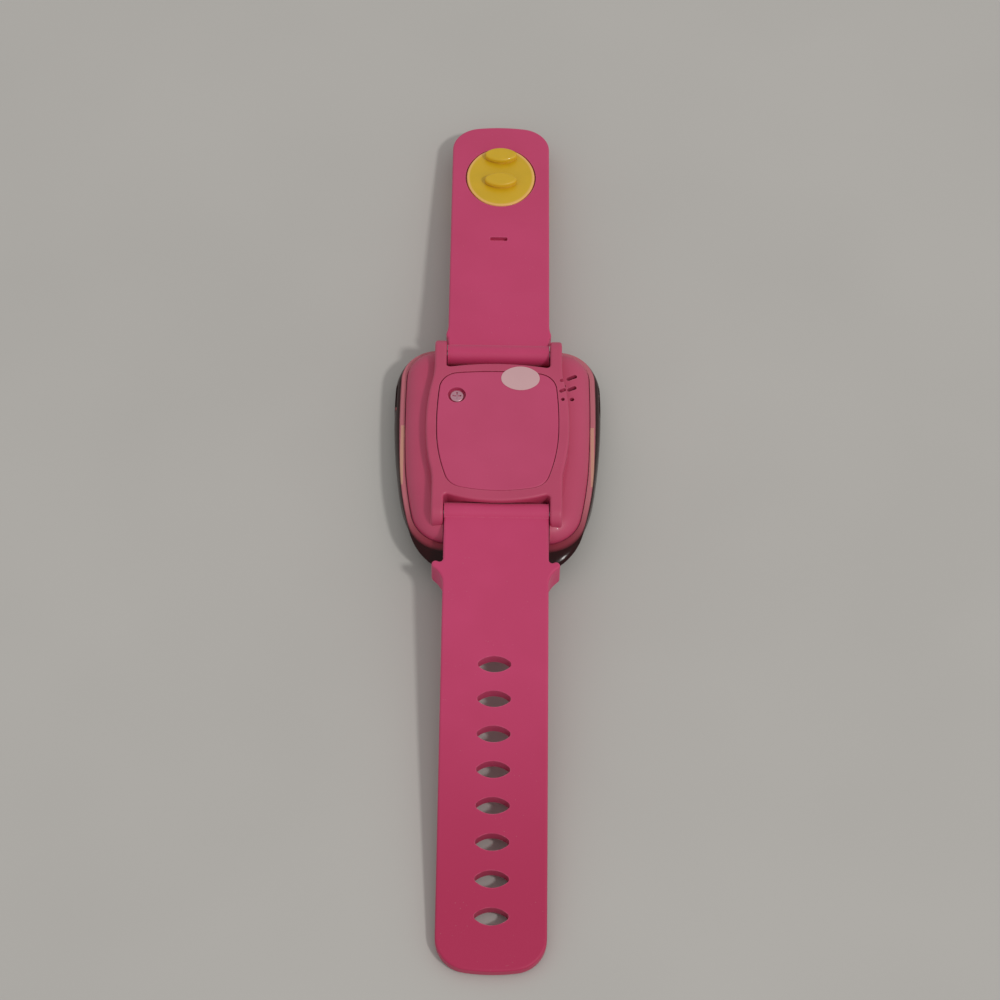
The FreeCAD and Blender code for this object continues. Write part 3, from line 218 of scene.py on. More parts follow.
class Effects:
    """Shader groups that several finishes share, each built once."""

    def __init__(self) -> None:
        """Builds the groups."""
        self.grain = self._grain()
        self.edges = self._edges()
        self.dust = self._dust()

    @staticmethod
    def _group(name: str, inputs: dict[str, float], outputs: tuple[str, ...]) -> bpy.types.NodeTree:
        """Makes an empty group with float sockets.

        Args:
            name: the group's name.
            inputs: name and default of each input.
            outputs: name of each output.

        Returns:
            The group's tree.
        """
        tree = bpy.data.node_groups.new(name, "ShaderNodeTree")
        for key, value in inputs.items():
            socket = tree.interface.new_socket(key, in_out="INPUT", socket_type="NodeSocketFloat")
            socket.default_value = value
        for key in outputs:
            tree.interface.new_socket(key, in_out="OUTPUT", socket_type="NodeSocketFloat")
        return tree

    def _grain(self) -> bpy.types.NodeTree:
        """Fine moulded grain and slow clouds of tone over the surface.

        Returns:
            The group, with the outputs Grain and Cloud.
        """
        tree = self._group("moulded_grain", {"Grain Scale": 4000.0, "Cloud Scale": 60.0}, ("Grain", "Cloud"))
        graph = Graph(tree)
        start = graph.add("NodeGroupInput")
        end = graph.add("NodeGroupOutput")
        place = graph.place()
        for source, target, detail in (("Grain Scale", "Grain", 3.0), ("Cloud Scale", "Cloud", 2.0)):
            noise = graph.add("TexNoise")
            noise.inputs["Detail"].default_value = detail
            graph.join(place, noise.inputs["Vector"])
            graph.join(start.outputs[source], noise.inputs["Scale"])
            graph.join(noise.outputs["Fac"], end.inputs[target])
        return tree

    def _edges(self) -> bpy.types.NodeTree:
        """Mask that is bright where a bevel of the given width would turn the surface.

        Returns:
            The group, with the output Mask.
        """
        tree = self._group("worn_and_lit_edges", {"Width": 0.0004, "Breakup": 900.0}, ("Mask",))
        graph = Graph(tree)
        start = graph.add("NodeGroupInput")
        end = graph.add("NodeGroupOutput")
        bevel = graph.add("Bevel", samples=WEAR_SAMPLES)
        graph.join(start.outputs["Width"], bevel.inputs["Radius"])
        flat = graph.add("NewGeometry")
        dot = graph.add("VectorMath", operation="DOT_PRODUCT")
        graph.join(bevel.outputs["Normal"], dot.inputs[0])
        graph.join(flat.outputs["Normal"], dot.inputs[1])
        turned = graph.ramp(graph.maths("SUBTRACT", 1.0, dot.outputs["Value"]), TURN_STOPS)
        noise = graph.add("TexNoise")
        graph.join(graph.place(), noise.inputs["Vector"])
        graph.join(start.outputs["Breakup"], noise.inputs["Scale"])
        broken = graph.ramp(noise.outputs["Fac"], BREAK_STOPS)
        graph.join(graph.maths("MULTIPLY", turned, broken), end.inputs["Mask"])
        return tree

    def _dust(self) -> bpy.types.NodeTree:
        """Mask of scattered specks, in patches.

        Returns:
            The group, with the output Mask.
        """
        tree = self._group("dust_specks", {"Scale": 900.0, "Amount": 0.3}, ("Mask",))
        graph = Graph(tree)
        start = graph.add("NodeGroupInput")
        end = graph.add("NodeGroupOutput")
        place = graph.place()
        cells = graph.add("TexVoronoi", feature="F1")
        graph.join(place, cells.inputs["Vector"])
        graph.join(start.outputs["Scale"], cells.inputs["Scale"])
        specks = graph.ramp(cells.outputs["Distance"], SPECK_STOPS)
        clouds = graph.add("TexNoise")
        clouds.inputs["Scale"].default_value = PATCH_SCALE
        graph.join(place, clouds.inputs["Vector"])
        patches = graph.ramp(clouds.outputs["Fac"], PATCH_STOPS)
        graph.join(graph.maths("MULTIPLY", graph.maths("MULTIPLY", specks, patches), start.outputs["Amount"]),
                   end.inputs["Mask"])
        return tree


EFFECTS = Effects()


@dataclass(frozen=True)
class Finish:
    """A surface finish: base colour, grain, edge and dust, over a Principled shader."""

    name: str
    colour: Colour
    shade: Colour
    roughness: float = 0.45
    grain_scale: float = 3500.0
    grain_height: float = 0.012
    cloud_scale: float = 70.0
    edge_tint: Colour = (0.8, 0.35, 0.42)
    edge_share: float = 0.25
    edge_width: float = 0.35
    dust_share: float = 0.2
    metallic: float = 0.0
    coat: float = 0.0
    sheen: float = 0.0
    specular: float = 0.5

    def start(self) -> tuple[bpy.types.Material, Graph, bpy.types.Node]:
        """Makes the material with an empty Principled shader.

        Returns:
            The material, its graph and the shader node.
        """
        material = bpy.data.materials.new(self.name)
        material.use_nodes = True
        graph = Graph(material.node_tree)
        shader = material.node_tree.nodes["Principled BSDF"]
        shader.inputs["Roughness"].default_value = self.roughness
        shader.inputs["Metallic"].default_value = self.metallic
        shader.inputs["Coat Weight"].default_value = self.coat
        shader.inputs["Sheen Weight"].default_value = self.sheen
        shader.inputs["Specular IOR Level"].default_value = self.specular
        return material, graph, shader

    def base(self, graph: Graph) -> bpy.types.NodeSocket:
        """The colour before wear: two tones in slow clouds.

        Args:
            graph: the material's graph.

        Returns:
            The colour socket.
        """
        grain = graph.add("Group", node_tree=EFFECTS.grain)
        grain.inputs["Cloud Scale"].default_value = self.cloud_scale
        clouds = graph.ramp(grain.outputs["Cloud"], CLOUD_STOPS)
        return graph.blend(clouds, self.colour, self.shade)

    def build(self) -> bpy.types.Material:
        """Builds the finished material.

        Returns:
            The material.
        """
        material, graph, shader = self.start()
        colour = self.base(graph)
        edges = graph.add("Group", node_tree=EFFECTS.edges)
        edges.inputs["Width"].default_value = self.edge_width * MM
        # the edge tint is wear on most finishes and a painted highlight on the straps and the yellow parts
        edge_wear_and_highlight = graph.maths("MULTIPLY", edges.outputs["Mask"], self.edge_share)
        colour = graph.blend(edge_wear_and_highlight, colour, self.edge_tint)
        dust = graph.add("Group", node_tree=EFFECTS.dust)
        dust.inputs["Amount"].default_value = self.dust_share
        colour = graph.blend(dust.outputs["Mask"], colour, DUST_COLOUR)
        graph.join(colour, shader.inputs["Base Color"])
        self.surface(graph, shader)
        return material

    def surface(self, graph: Graph, shader: bpy.types.Node) -> None:
        """Joins grain to roughness and to a bump.

        Args:
            graph: the material's graph.
            shader: the Principled shader.
        """
        grain = graph.add("Group", node_tree=EFFECTS.grain)
        grain.inputs["Grain Scale"].default_value = self.grain_scale
        rough = graph.add("MapRange")
        rough.inputs["To Min"].default_value = max(self.roughness - ROUGHNESS_BELOW, LOWEST_ROUGHNESS)
        rough.inputs["To Max"].default_value = min(self.roughness + ROUGHNESS_ABOVE, 1.0)
        graph.join(grain.outputs["Grain"], rough.inputs["Value"])
        graph.join(rough.outputs["Result"], shader.inputs["Roughness"])
        bump = graph.add("Bump")
        bump.inputs["Strength"].default_value = BUMP_STRENGTH
        bump.inputs["Distance"].default_value = self.grain_height * MM
        graph.join(grain.outputs["Grain"], bump.inputs["Height"])
        graph.join(bump.outputs["Normal"], shader.inputs["Normal"])


@dataclass(frozen=True)
class StrapFinish(Finish):
    """Soft rubber, with painted shade that darkens it towards the free end of the longer strap."""

    # painted shade: the darker tone towards the hole strap's free end
    deep: Colour = (0.49, 0.022, 0.095)
    near_y: float = -45.0
    far_y: float = -122.0

    def base(self, graph: Graph) -> bpy.types.NodeSocket:
        """The clouded colour, blended into the painted shade along the strap."""
        along = graph.span(graph.axes()["Y"], self.near_y, self.far_y, "SMOOTHSTEP")
        return graph.blend(along, super().base(graph), self.deep)


@dataclass(frozen=True)
class ClearFinish(Finish):
    """Tinted clear plastic with painted light: painted shade, near black, along the thick rim that light doesn't pass;
    painted shade darker towards the hole strap's end; and a painted glow of the yellow strips on the plastic above
    them.
    """

    transmission: float = 0.34
    # levels in mm where the painted shade of the rim gives way to the clear top
    low_level: float = 7.38
    high_level: float = 7.6
    # painted glow: the strips' colour as seen through the plastic above them
    strip_glow_tint: Colour = (0.98, 0.50, 0.38)
    # painted shade: the plastic darker towards the hole strap's end
    painted_shade_tint: Colour = (0.40, 0.050, 0.085)
    painted_shade_near_y: float = -14.0
    painted_shade_far_y: float = -29.0
    strip_low_y: float = -12.2
    strip_high_y: float = 4.0
    strip_low_x: float = 21.55
    strip_high_x: float = 22.35

    def build(self) -> bpy.types.Material:
        """Builds the clear material.

        Returns:
            The material.
        """
        material, graph, shader = self.start()
        axes = graph.axes()
        # painted shade: near black below the level, along the thick rim that light doesn't pass
        level = graph.span(axes["Z"], self.low_level, self.high_level)
        # painted shade towards the hole strap's end
        along = graph.span(axes["Y"], self.painted_shade_near_y, self.painted_shade_far_y, "SMOOTHSTEP")
        top = graph.blend(along, self.colour, self.painted_shade_tint)
        # painted glow of the strips on the plastic above them
        top = graph.blend(self.painted_strip_glow(graph, axes), top, self.strip_glow_tint)
        colour = graph.blend(level, self.shade, top)
        dust = graph.add("Group", node_tree=EFFECTS.dust)
        dust.inputs["Amount"].default_value = self.dust_share
        dusty = graph.blend(dust.outputs["Mask"], colour, PLASTIC_DUST_COLOUR)
        graph.join(dusty, shader.inputs["Base Color"])
        shader.inputs["Transmission Weight"].default_value = self.transmission
        shader.inputs["IOR"].default_value = CLEAR_PLASTIC_IOR
        self.surface(graph, shader)
        return material

    def painted_strip_glow(self, graph: Graph, axes: bpy.types.NodeOutputs) -> bpy.types.NodeSocket:
        """Mask for the painted glow over the strips: their colour painted on the plastic above them, in place of the
        light they send through it.

        Args:
            graph: the material's graph.
            axes: the object coordinates apart.

        Returns:
            The mask.
        """
        across = graph.maths("ABSOLUTE", axes["X"])
        tests = [graph.maths("GREATER_THAN", across, self.strip_low_x * MM),
                 graph.maths("LESS_THAN", across, self.strip_high_x * MM),
                 graph.maths("GREATER_THAN", axes["Y"], self.strip_low_y * MM),
                 graph.maths("LESS_THAN", axes["Y"], self.strip_high_y * MM)]
        return graph.chain("MULTIPLY", tests)


@dataclass(frozen=True)
class WindowFinish(Finish):
    """Front window: dark grey over the display, printed black round it."""

    half_width: float = 13.2
    low_y: float = -13.6
    high_y: float = 14.2

    def base(self, graph: Graph) -> bpy.types.NodeSocket:
        """Black border outside the display's rectangle, in place of clouds.

        Args:
            graph: the material's graph.

        Returns:
            The colour socket.
        """
        axes = graph.axes()
        middle = (self.low_y + self.high_y) / 2
        across = graph.maths("ABSOLUTE", axes["X"])
        along = graph.maths("ABSOLUTE", graph.maths("SUBTRACT", axes["Y"], middle * MM))
        outside = graph.maths("MAXIMUM", graph.maths("GREATER_THAN", across, self.half_width * MM),
                              graph.maths("GREATER_THAN", along, (self.high_y - middle) * MM))
        return graph.blend(outside, self.colour, self.shade)


@dataclass(frozen=True)
class RingedFinish(Finish):
    """Rings about a centre: a camera's barrel, or a mark pressed into a button."""

    centre: tuple[float, float] = (0.0, 0.0)
    rings: Stops = ((0.0, 1.0), (0.5, 1.0), (0.55, 0.0), (1.0, 0.0))
    reach: float = 4.0

    def base(self, graph: Graph) -> bpy.types.NodeSocket:
        """Two tones in rings by the distance from the centre.

        Args:
            graph: the material's graph.

        Returns:
            The colour socket.
        """
        axes = graph.axes()
        offsets = [graph.maths("SUBTRACT", axes[axis], middle * MM) for axis, middle in zip("XY", self.centre)]
        share = graph.maths("DIVIDE", graph.distance(*offsets), self.reach * MM)
        return graph.blend(graph.ramp(share, self.rings), self.colour, self.shade)


@dataclass(frozen=True)
class RimmedFinish(Finish):
    """A paler line painted round an oval disc's bevelled edge, a painted highlight."""

    centre_y: float = 77.04
    half_width: float = 8.3
    half_length: float = 9.55
    rim_start: float = 0.9
    rim_full: float = 0.95

    def base(self, graph: Graph) -> bpy.types.NodeSocket:
        """The clouded colour, with the edge tint painted round the bevel as a highlight.

        Args:
            graph: the material's graph.

        Returns:
            The colour socket.
        """
        axes = graph.axes()
        across = graph.maths("DIVIDE", axes["X"], self.half_width * MM)
        offset = graph.maths("SUBTRACT", axes["Y"], self.centre_y * MM)
        along = graph.maths("DIVIDE", offset, self.half_length * MM)
        # painted highlight round the disc's rim
        rim = graph.ramp(graph.distance(across, along), ((self.rim_start, 0.0), (self.rim_full, 1.0)))
        return graph.blend(rim, super().base(graph), self.edge_tint)


@dataclass(frozen=True)
class WovenFinish(Finish):
    """Fine woven or perforated cloth, with holes in rows."""

    pitch: float = 0.45

    def base(self, graph: Graph) -> bpy.types.NodeSocket:
        """Crossing threads in two tones.

        Args:
            graph: the material's graph.

        Returns:
            The colour socket.
        """
        axes = graph.axes()
        turns = 2 * math.pi / (self.pitch * MM)
        waves = [graph.maths("SINE", graph.maths("MULTIPLY", axes[axis], turns)) for axis in "XY"]
        share = graph.ramp(graph.chain("MULTIPLY", waves), THREAD_STOPS)
        return graph.blend(share, self.colour, self.shade)


PINK_SHELL = Finish("pink_shell", (0.57, 0.066, 0.154), (0.54, 0.059, 0.141), roughness=0.42, coat=0.08)
PINK_DOOR = Finish("pink_door", (0.61, 0.066, 0.174), (0.58, 0.060, 0.160), roughness=0.46)
# The straps' paler edge tint is a painted highlight along their edges.
PINK_STRAP = StrapFinish("pink_strap", (0.64, 0.055, 0.172), (0.61, 0.050, 0.158), roughness=0.52,
                         grain_scale=2600.0, grain_height=0.02, edge_tint=(0.78, 0.22, 0.34), edge_share=0.5,
                         dust_share=0.3, sheen=0.1, specular=0.4)
PINK_INNER = Finish("pink_inner", (0.50, 0.060, 0.130), (0.47, 0.055, 0.120), roughness=0.55)
PINK_BUTTON = Finish("pink_button", (0.58, 0.090, 0.14), (0.53, 0.080, 0.125), roughness=0.3, coat=0.2)
ROSE_RUBBER = Finish("rose_rubber", (0.56, 0.17, 0.18), (0.52, 0.15, 0.16), roughness=0.6, grain_height=0.02)
# The yellow finishes' paler edge tints are painted highlights along their edges, and the stud's rim line is a painted
# highlight round its disc.
YELLOW = Finish("yellow_plastic", (0.77, 0.48, 0.012), (0.73, 0.45, 0.010), roughness=0.4, coat=0.1,
                edge_tint=(0.93, 0.62, 0.08), edge_share=0.65, edge_width=0.6)
STUD_YELLOW = RimmedFinish("stud_yellow", (0.76, 0.47, 0.010), (0.70, 0.44, 0.009), roughness=0.4, coat=0.1,
                           cloud_scale=160.0, edge_tint=(0.92, 0.52, 0.14), edge_share=0.5, edge_width=0.6)
STRIP_YELLOW = Finish("strip_yellow", (0.95, 0.55, 0.16), (0.90, 0.50, 0.14), roughness=0.35)
# its shade colour is the painted shade along the bezel's rim
CLEAR_ROSE = ClearFinish("clear_rose", (0.84, 0.26, 0.32), (0.034, 0.003, 0.004), roughness=0.16,
                         grain_height=0.002, dust_share=0.1, specular=0.05)
WINDOW = WindowFinish("black_window", (0.03, 0.032, 0.04), (0.004, 0.004, 0.005), roughness=0.06,
                      grain_height=0.0005, coat=1.0, edge_share=0.05)
DISPLAY = WovenFinish("dark_display", (0.012, 0.014, 0.02), (0.006, 0.007, 0.01), roughness=0.2,
                      grain_height=0.001, pitch=0.15, edge_share=0.0)
CAMERA_GLASS = RingedFinish("camera_glass", (0.004, 0.004, 0.006), (0.02, 0.015, 0.03), roughness=0.05,
                            grain_height=0.0003, coat=1.0, centre=(0.0, 21.6), reach=2.4,
                            rings=((0.0, 1.0), (0.25, 1.0), (0.3, 0.0), (0.62, 0.0), (0.66, 1.0), (0.72, 0.0)))
BLACK = Finish("black_plastic", (0.02, 0.02, 0.022), (0.014, 0.014, 0.015), roughness=0.5,
               edge_tint=(0.1, 0.1, 0.1))
SEAL = Finish("grey_silicone", (0.20, 0.20, 0.21), (0.16, 0.16, 0.17), roughness=0.65, edge_tint=(0.3, 0.3, 0.3))
STEEL = Finish("plated_steel", (0.85, 0.70, 0.74), (0.74, 0.60, 0.65), roughness=0.42, metallic=1.0,
               grain_scale=5200.0, edge_tint=(0.95, 0.92, 0.92), edge_share=0.5)
# A darker, pinker copy of the plated steel for the door screw: painted shade from its recess and a painted reflection
# of the pink shell round it.
SHADED_SCREW_STEEL = replace(STEEL, name="shaded_screw_steel", colour=(0.70, 0.38, 0.46), shade=(0.60, 0.32, 0.40),
                      edge_tint=(0.9, 0.75, 0.78))
TINNED = Finish("tinned_steel", (0.55, 0.55, 0.54), (0.47, 0.47, 0.47), roughness=0.32, metallic=1.0,
                edge_tint=(0.7, 0.7, 0.7))
GOLD = Finish("gold_contact", (0.75, 0.5, 0.2), (0.68, 0.44, 0.17), roughness=0.28, metallic=1.0,
              edge_tint=(0.85, 0.65, 0.35))
PAPER = Finish("sticker_paper", (0.72, 0.44, 0.46), (0.68, 0.41, 0.43), roughness=0.55, grain_scale=5000.0,
               grain_height=0.006, edge_tint=(0.78, 0.62, 0.6), dust_share=0.15)
FOIL = Finish("cell_foil", (0.30, 0.32, 0.36), (0.24, 0.26, 0.30), roughness=0.34, metallic=0.6,
              grain_scale=900.0, grain_height=0.04, edge_tint=(0.5, 0.5, 0.52))
TAPE = Finish("amber_tape", (0.55, 0.25, 0.03), (0.48, 0.21, 0.03), roughness=0.25, coat=0.5,
              edge_tint=(0.65, 0.35, 0.1))
WHITE = Finish("white_plastic", (0.62, 0.60, 0.55), (0.56, 0.54, 0.50), roughness=0.45, edge_tint=(0.7, 0.7, 0.66))
WIRE = Finish("red_wire", (0.45, 0.02, 0.02), (0.38, 0.016, 0.016), roughness=0.4, edge_tint=(0.5, 0.1, 0.1))
BOARD = WovenFinish("green_board", (0.015, 0.10, 0.04), (0.02, 0.14, 0.055), roughness=0.35, pitch=1.1,
                    edge_tint=(0.35, 0.32, 0.2), edge_share=0.5)
CLOTH = WovenFinish("speaker_cloth", (0.006, 0.005, 0.006), (0.014, 0.012, 0.013), roughness=0.85)


class Slot(Enum):
    """Material slot names; the new pieces here take their finishes from Finish values instead."""

    BLACK = "black_plastic"
    GOLD = "tinned_steel"
    YELLOW = "yellow_plastic"
    PINK = "button_pink"
    RUBBER = "cover_rubber"
    FOIL = "foil_wrap"
    STEEL = "plated_steel"


# ---------------------------------------------------------------- modelling helpers
class Bench:
    """Blender's modelling operators, used as by hand on one piece at a time."""

    @staticmethod
    def clear() -> None:
        """Leaves nothing selected."""
        bpy.ops.object.select_all(action="DESELECT")

    @staticmethod
    def take(name: str) -> bpy.types.Object:
        """Names the newly added object and puts its place into its mesh.

        Args:
            name: the piece's name.

        Returns:
            The piece.
        """
        piece = bpy.context.object
        piece.name = name
        piece.data.name = name
        bpy.ops.object.transform_apply(location=True, rotation=True, scale=True)
        return piece

    @classmethod
    def block(cls, name: str, low: Point, high: Point) -> bpy.types.Object:
        """Adds a block between two corners, in mm.

        Args:
            name: the piece's name.
            low: its lowest corner.
            high: its highest corner.

        Returns:
            The piece.
        """
        cls.clear()
        middle = [(a + b) / 2 * MM for a, b in zip(low, high)]
        bpy.ops.mesh.primitive_cube_add(size=1.0, location=middle)
        bpy.context.object.scale = [(b - a) * MM for a, b in zip(low, high)]
        return cls.take(name)

    @classmethod
    def hoop(cls, name: str, radius: float, wire: float, centre: Point, tilt: float = 0.0) -> bpy.types.Object:
        """Adds a ring of round section, in mm, tilted about X by an angle in degrees.

        Args:
            name: the piece's name.
            radius: the ring's radius.
            wire: its section's radius.
            centre: its centre.
            tilt: the angle.

        Returns:
            The piece.
        """
        cls.clear()
        bpy.ops.mesh.primitive_torus_add(major_radius=radius * MM, minor_radius=wire * MM,
                                         major_segments=RING_STEPS, minor_segments=WIRE_STEPS,
                                         location=[c * MM for c in centre],
                                         rotation=(math.radians(tilt), 0.0, 0.0))
        return cls.take(name)

    @staticmethod
    @contextmanager
    def editing(piece: bpy.types.Object, pick: Callable[[bpy.types.MeshPolygon], bool]) -> Iterator[None]:
        """Opens a piece in edit mode with some of its faces selected.

        Args:
            piece: the piece.
            pick: says of a face whether it is selected.

        Yields:
            Nothing; the operators go inside.
        """
        bpy.context.view_layer.objects.active = piece
        for vertex in piece.data.vertices:
            vertex.select = False
        for edge in piece.data.edges:
            edge.select = False
        for face in piece.data.polygons:
            face.select = pick(face)
        bpy.ops.object.mode_set(mode="EDIT")
        bpy.ops.mesh.select_mode(type="FACE")
        yield
        bpy.ops.object.mode_set(mode="OBJECT")

    @staticmethod
    def raised(piece: bpy.types.Object, pick: Callable[[bpy.types.MeshPolygon], bool], inset: float,
               step: Point) -> None:
        """Insets some faces and moves the inner ones, which leaves a chamfer round them.

        Args:
            piece: the piece.
            pick: says of a face whether it is taken.
            inset: how far in, in mm.
            step: the move, in mm.
        """
        with Bench.editing(piece, pick):
            bpy.ops.mesh.inset(thickness=inset * MM)
            bpy.ops.transform.translate(value=[length * MM for length in step])

    @staticmethod
    def soften(piece: bpy.types.Object, width: float, segments: int = 2) -> None:
        """Rounds the piece's sharp edges and shades it smooth.

        Args:
            piece: the piece.
            width: the bevel's width in mm.
            segments: how many steps round each edge.
        """
        bpy.context.view_layer.objects.active = piece
        bevel = piece.modifiers.new("soft_edges", "BEVEL")
        bevel.width = width * MM
        bevel.segments = segments
        bevel.limit_method = "ANGLE"
        bevel.angle_limit = math.radians(BEVEL_ABOVE)
        bpy.ops.object.modifier_apply(modifier=bevel.name)
        Bench.smooth(piece)

    @staticmethod
    def smooth(piece: bpy.types.Object) -> None:
        """Shades the piece smooth except at its sharp edges.

        Args:
            piece: the piece.
        """
        Bench.clear()
        piece.select_set(True)
        bpy.context.view_layer.objects.active = piece
        bpy.ops.object.shade_smooth_by_angle(angle=math.radians(SHARP_ABOVE))

    @staticmethod
    def copy_to(piece: bpy.types.Object, step: Point) -> bpy.types.Object:
        """Copies a piece with a mesh of its own, moved by a step in mm.

        Args:
            piece: the piece to copy.
            step: the move.

        Returns:
            The copy.
        """
        twin = piece.copy()
        twin.data = piece.data.copy()
        bpy.context.scene.collection.objects.link(twin)
        twin.data.transform(Matrix.Translation(Vector(step) * MM))
        return twin

    @staticmethod
    def merge(name: str, pieces: list[bpy.types.Object]) -> bpy.types.Object:
        """Joins pieces into one object.

        Args:
            name: the joined object's name.
            pieces: the pieces, at least one.

        Returns:
            The joined object.
        """
        Bench.clear()
        for piece in pieces:
            piece.select_set(True)
        bpy.context.view_layer.objects.active = pieces[0]
        bpy.ops.object.join()
        pieces[0].name = name
        pieces[0].data.name = name
        return pieces[0]


class Dresser:
    """Gives pieces and CAD nodes their finishes and their bodies."""

    def __init__(self) -> None:
        """Starts with no material built."""
        self.built: dict[str, bpy.types.Material] = {}

    def material(self, finish: Finish) -> bpy.types.Material:
        """Gives the finish's material, building it once.

        Args:
            finish: the finish.

        Returns:
            Its material.
        """
        if finish.name not in self.built:
            self.built[finish.name] = finish.build()
        return self.built[finish.name]

    def dress(self, nodes: tuple[str, ...], finish: Finish) -> None:
        """Puts a finish on CAD nodes.

        Args:
            nodes: the nodes' names.
            finish: the finish.
        """
        for name in nodes:
            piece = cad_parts[name]
            if not piece.data.materials:
                piece.data.materials.append(None)
            for index in range(len(piece.data.materials)):
                piece.data.materials[index] = self.material(finish)
            log.info("%s wears %s", name, finish.name)

    def fit(self, piece: bpy.types.Object, finish: Finish, body: str) -> None:
        """Dresses a new piece and makes it ride on a body.

        Args:
            piece: the new piece.
            finish: its finish.
            body: the CAD body it moves with.
        """
        piece.data.materials.clear()
        piece.data.materials.append(self.material(finish))
        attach(piece, body)
        log.info("%s rides on %s", piece.name, body)


DRESSER = Dresser()


# ---------------------------------------------------------------- sub-assemblies
@dataclass
class CaseBack:
    """Back cover, battery door and what is fitted in them."""

    duct_low: tuple[float, float] = (13.45, 6.45)
    duct_high: tuple[float, float] = (18.15, 16.75)
    cloth_level: float = 9.6
    cloth_thick: float = 0.1
    cloth_hem: float = 0.5
    cloth_slope: float = 1.0
    cloth_crown: float = 0.05
    screw_x: float = -9.5
    screw_y: float = 8.3
    thread_low: float = 9.7
    thread_r: float = 0.79
    thread_wire: float = 0.05
    thread_pitch: float = 0.45
    thread_turns: int = 6

    def build(self) -> None:
        """Makes the pieces and dresses them."""
        DRESSER.dress(("back_shell",), PINK_SHELL)
        DRESSER.dress(("battery_door",), PINK_DOOR)
        DRESSER.dress(("inspection_sticker",), PAPER)
        DRESSER.dress(("door_screw",), SHADED_SCREW_STEEL)
        DRESSER.dress(("case_screws", "upper_strap_pin", "lower_strap_pin"), STEEL)
        DRESSER.dress(("door_seal", "case_gasket", "speaker_gasket"), SEAL)
        self.speaker_cloth()
        self.screw_thread()

    def speaker_cloth(self) -> None:
        """A dark cloth stretched in the duct behind the slits, crowned a little towards them."""
        cloth = Bench.block("speaker_cloth", (*self.duct_low, self.cloth_level),
                            (*self.duct_high, self.cloth_level + self.cloth_thick))
        with Bench.editing(cloth, lambda face: face.normal.z > FACES_IT):
            bpy.ops.mesh.inset(thickness=self.cloth_hem * MM)
            bpy.ops.mesh.inset(thickness=self.cloth_slope * MM)
            bpy.ops.transform.translate(value=(0.0, 0.0, self.cloth_crown * MM))
        Bench.smooth(cloth)
        DRESSER.fit(cloth, CLOTH, "case")

    def screw_thread(self) -> None:
        """The door screw's thread, as close rings round its shank."""
        first = Bench.hoop("door_screw_thread", self.thread_r, self.thread_wire,
                           (self.screw_x, self.screw_y, self.thread_low))
        rings = [first] + [Bench.copy_to(first, (0.0, 0.0, self.thread_pitch * k))
                           for k in range(1, self.thread_turns)]
        thread = Bench.merge("door_screw_thread", rings)
        DRESSER.fit(thread, STEEL, "door_screw")


@dataclass
class Battery:
    """The cell in its bay, with its tape and connector pins."""

    low_x: float = -6.2
    high_x: float = 9.4
    tape_low_y: float = -4.0
    tape_high_y: float = 4.0
    top: float = 12.3
    tape_inset: float = 0.9
    tape_thick: float = 0.06
    tape_reach: float = 0.35
    tape_drop: float = 0.03
    tape_edge: float = 0.02
    pin_low: Point = (-10.2, -4.5, 11.1)
    pin_high: Point = (-9.8, -4.1, 11.5)
    pin_inset: float = 0.08
    pin_point: float = 0.1
    pin_pitch: float = 1.5

    def build(self) -> None:
        """Makes the pieces and dresses them."""
        DRESSER.dress(("battery_pack",), FOIL)
        DRESSER.dress(("battery_connector",), WHITE)
        DRESSER.dress(("battery_lead",), WIRE)
        self.tape()
        self.pins()

    def tape(self) -> None:
        """A band of tape over the cell, its ends folded back and a little down."""
        tape = Bench.block("cell_tape", (self.low_x + self.tape_inset, self.tape_low_y, self.top),
                           (self.high_x - self.tape_inset, self.tape_high_y, self.top + self.tape_thick))
        with Bench.editing(tape, lambda face: abs(face.normal.x) > FACES_IT):
            bpy.ops.mesh.extrude_region_shrink_fatten(
                TRANSFORM_OT_shrink_fatten={"value": -self.tape_reach * MM})
            bpy.ops.transform.translate(value=(0.0, 0.0, -self.tape_drop * MM))
        Bench.soften(tape, self.tape_edge)
        DRESSER.fit(tape, TAPE, "case")

    def pins(self) -> None:
        """Two contacts that stand in the connector's top."""
        first = Bench.block("connector_pins", self.pin_low, self.pin_high)
        Bench.raised(first, lambda face: face.normal.z > FACES_IT, self.pin_inset, (0.0, 0.0, self.pin_point))
        second = Bench.copy_to(first, (0.0, self.pin_pitch, 0.0))
        pins = Bench.merge("connector_pins", [first, second])
        DRESSER.fit(pins, GOLD, "case")


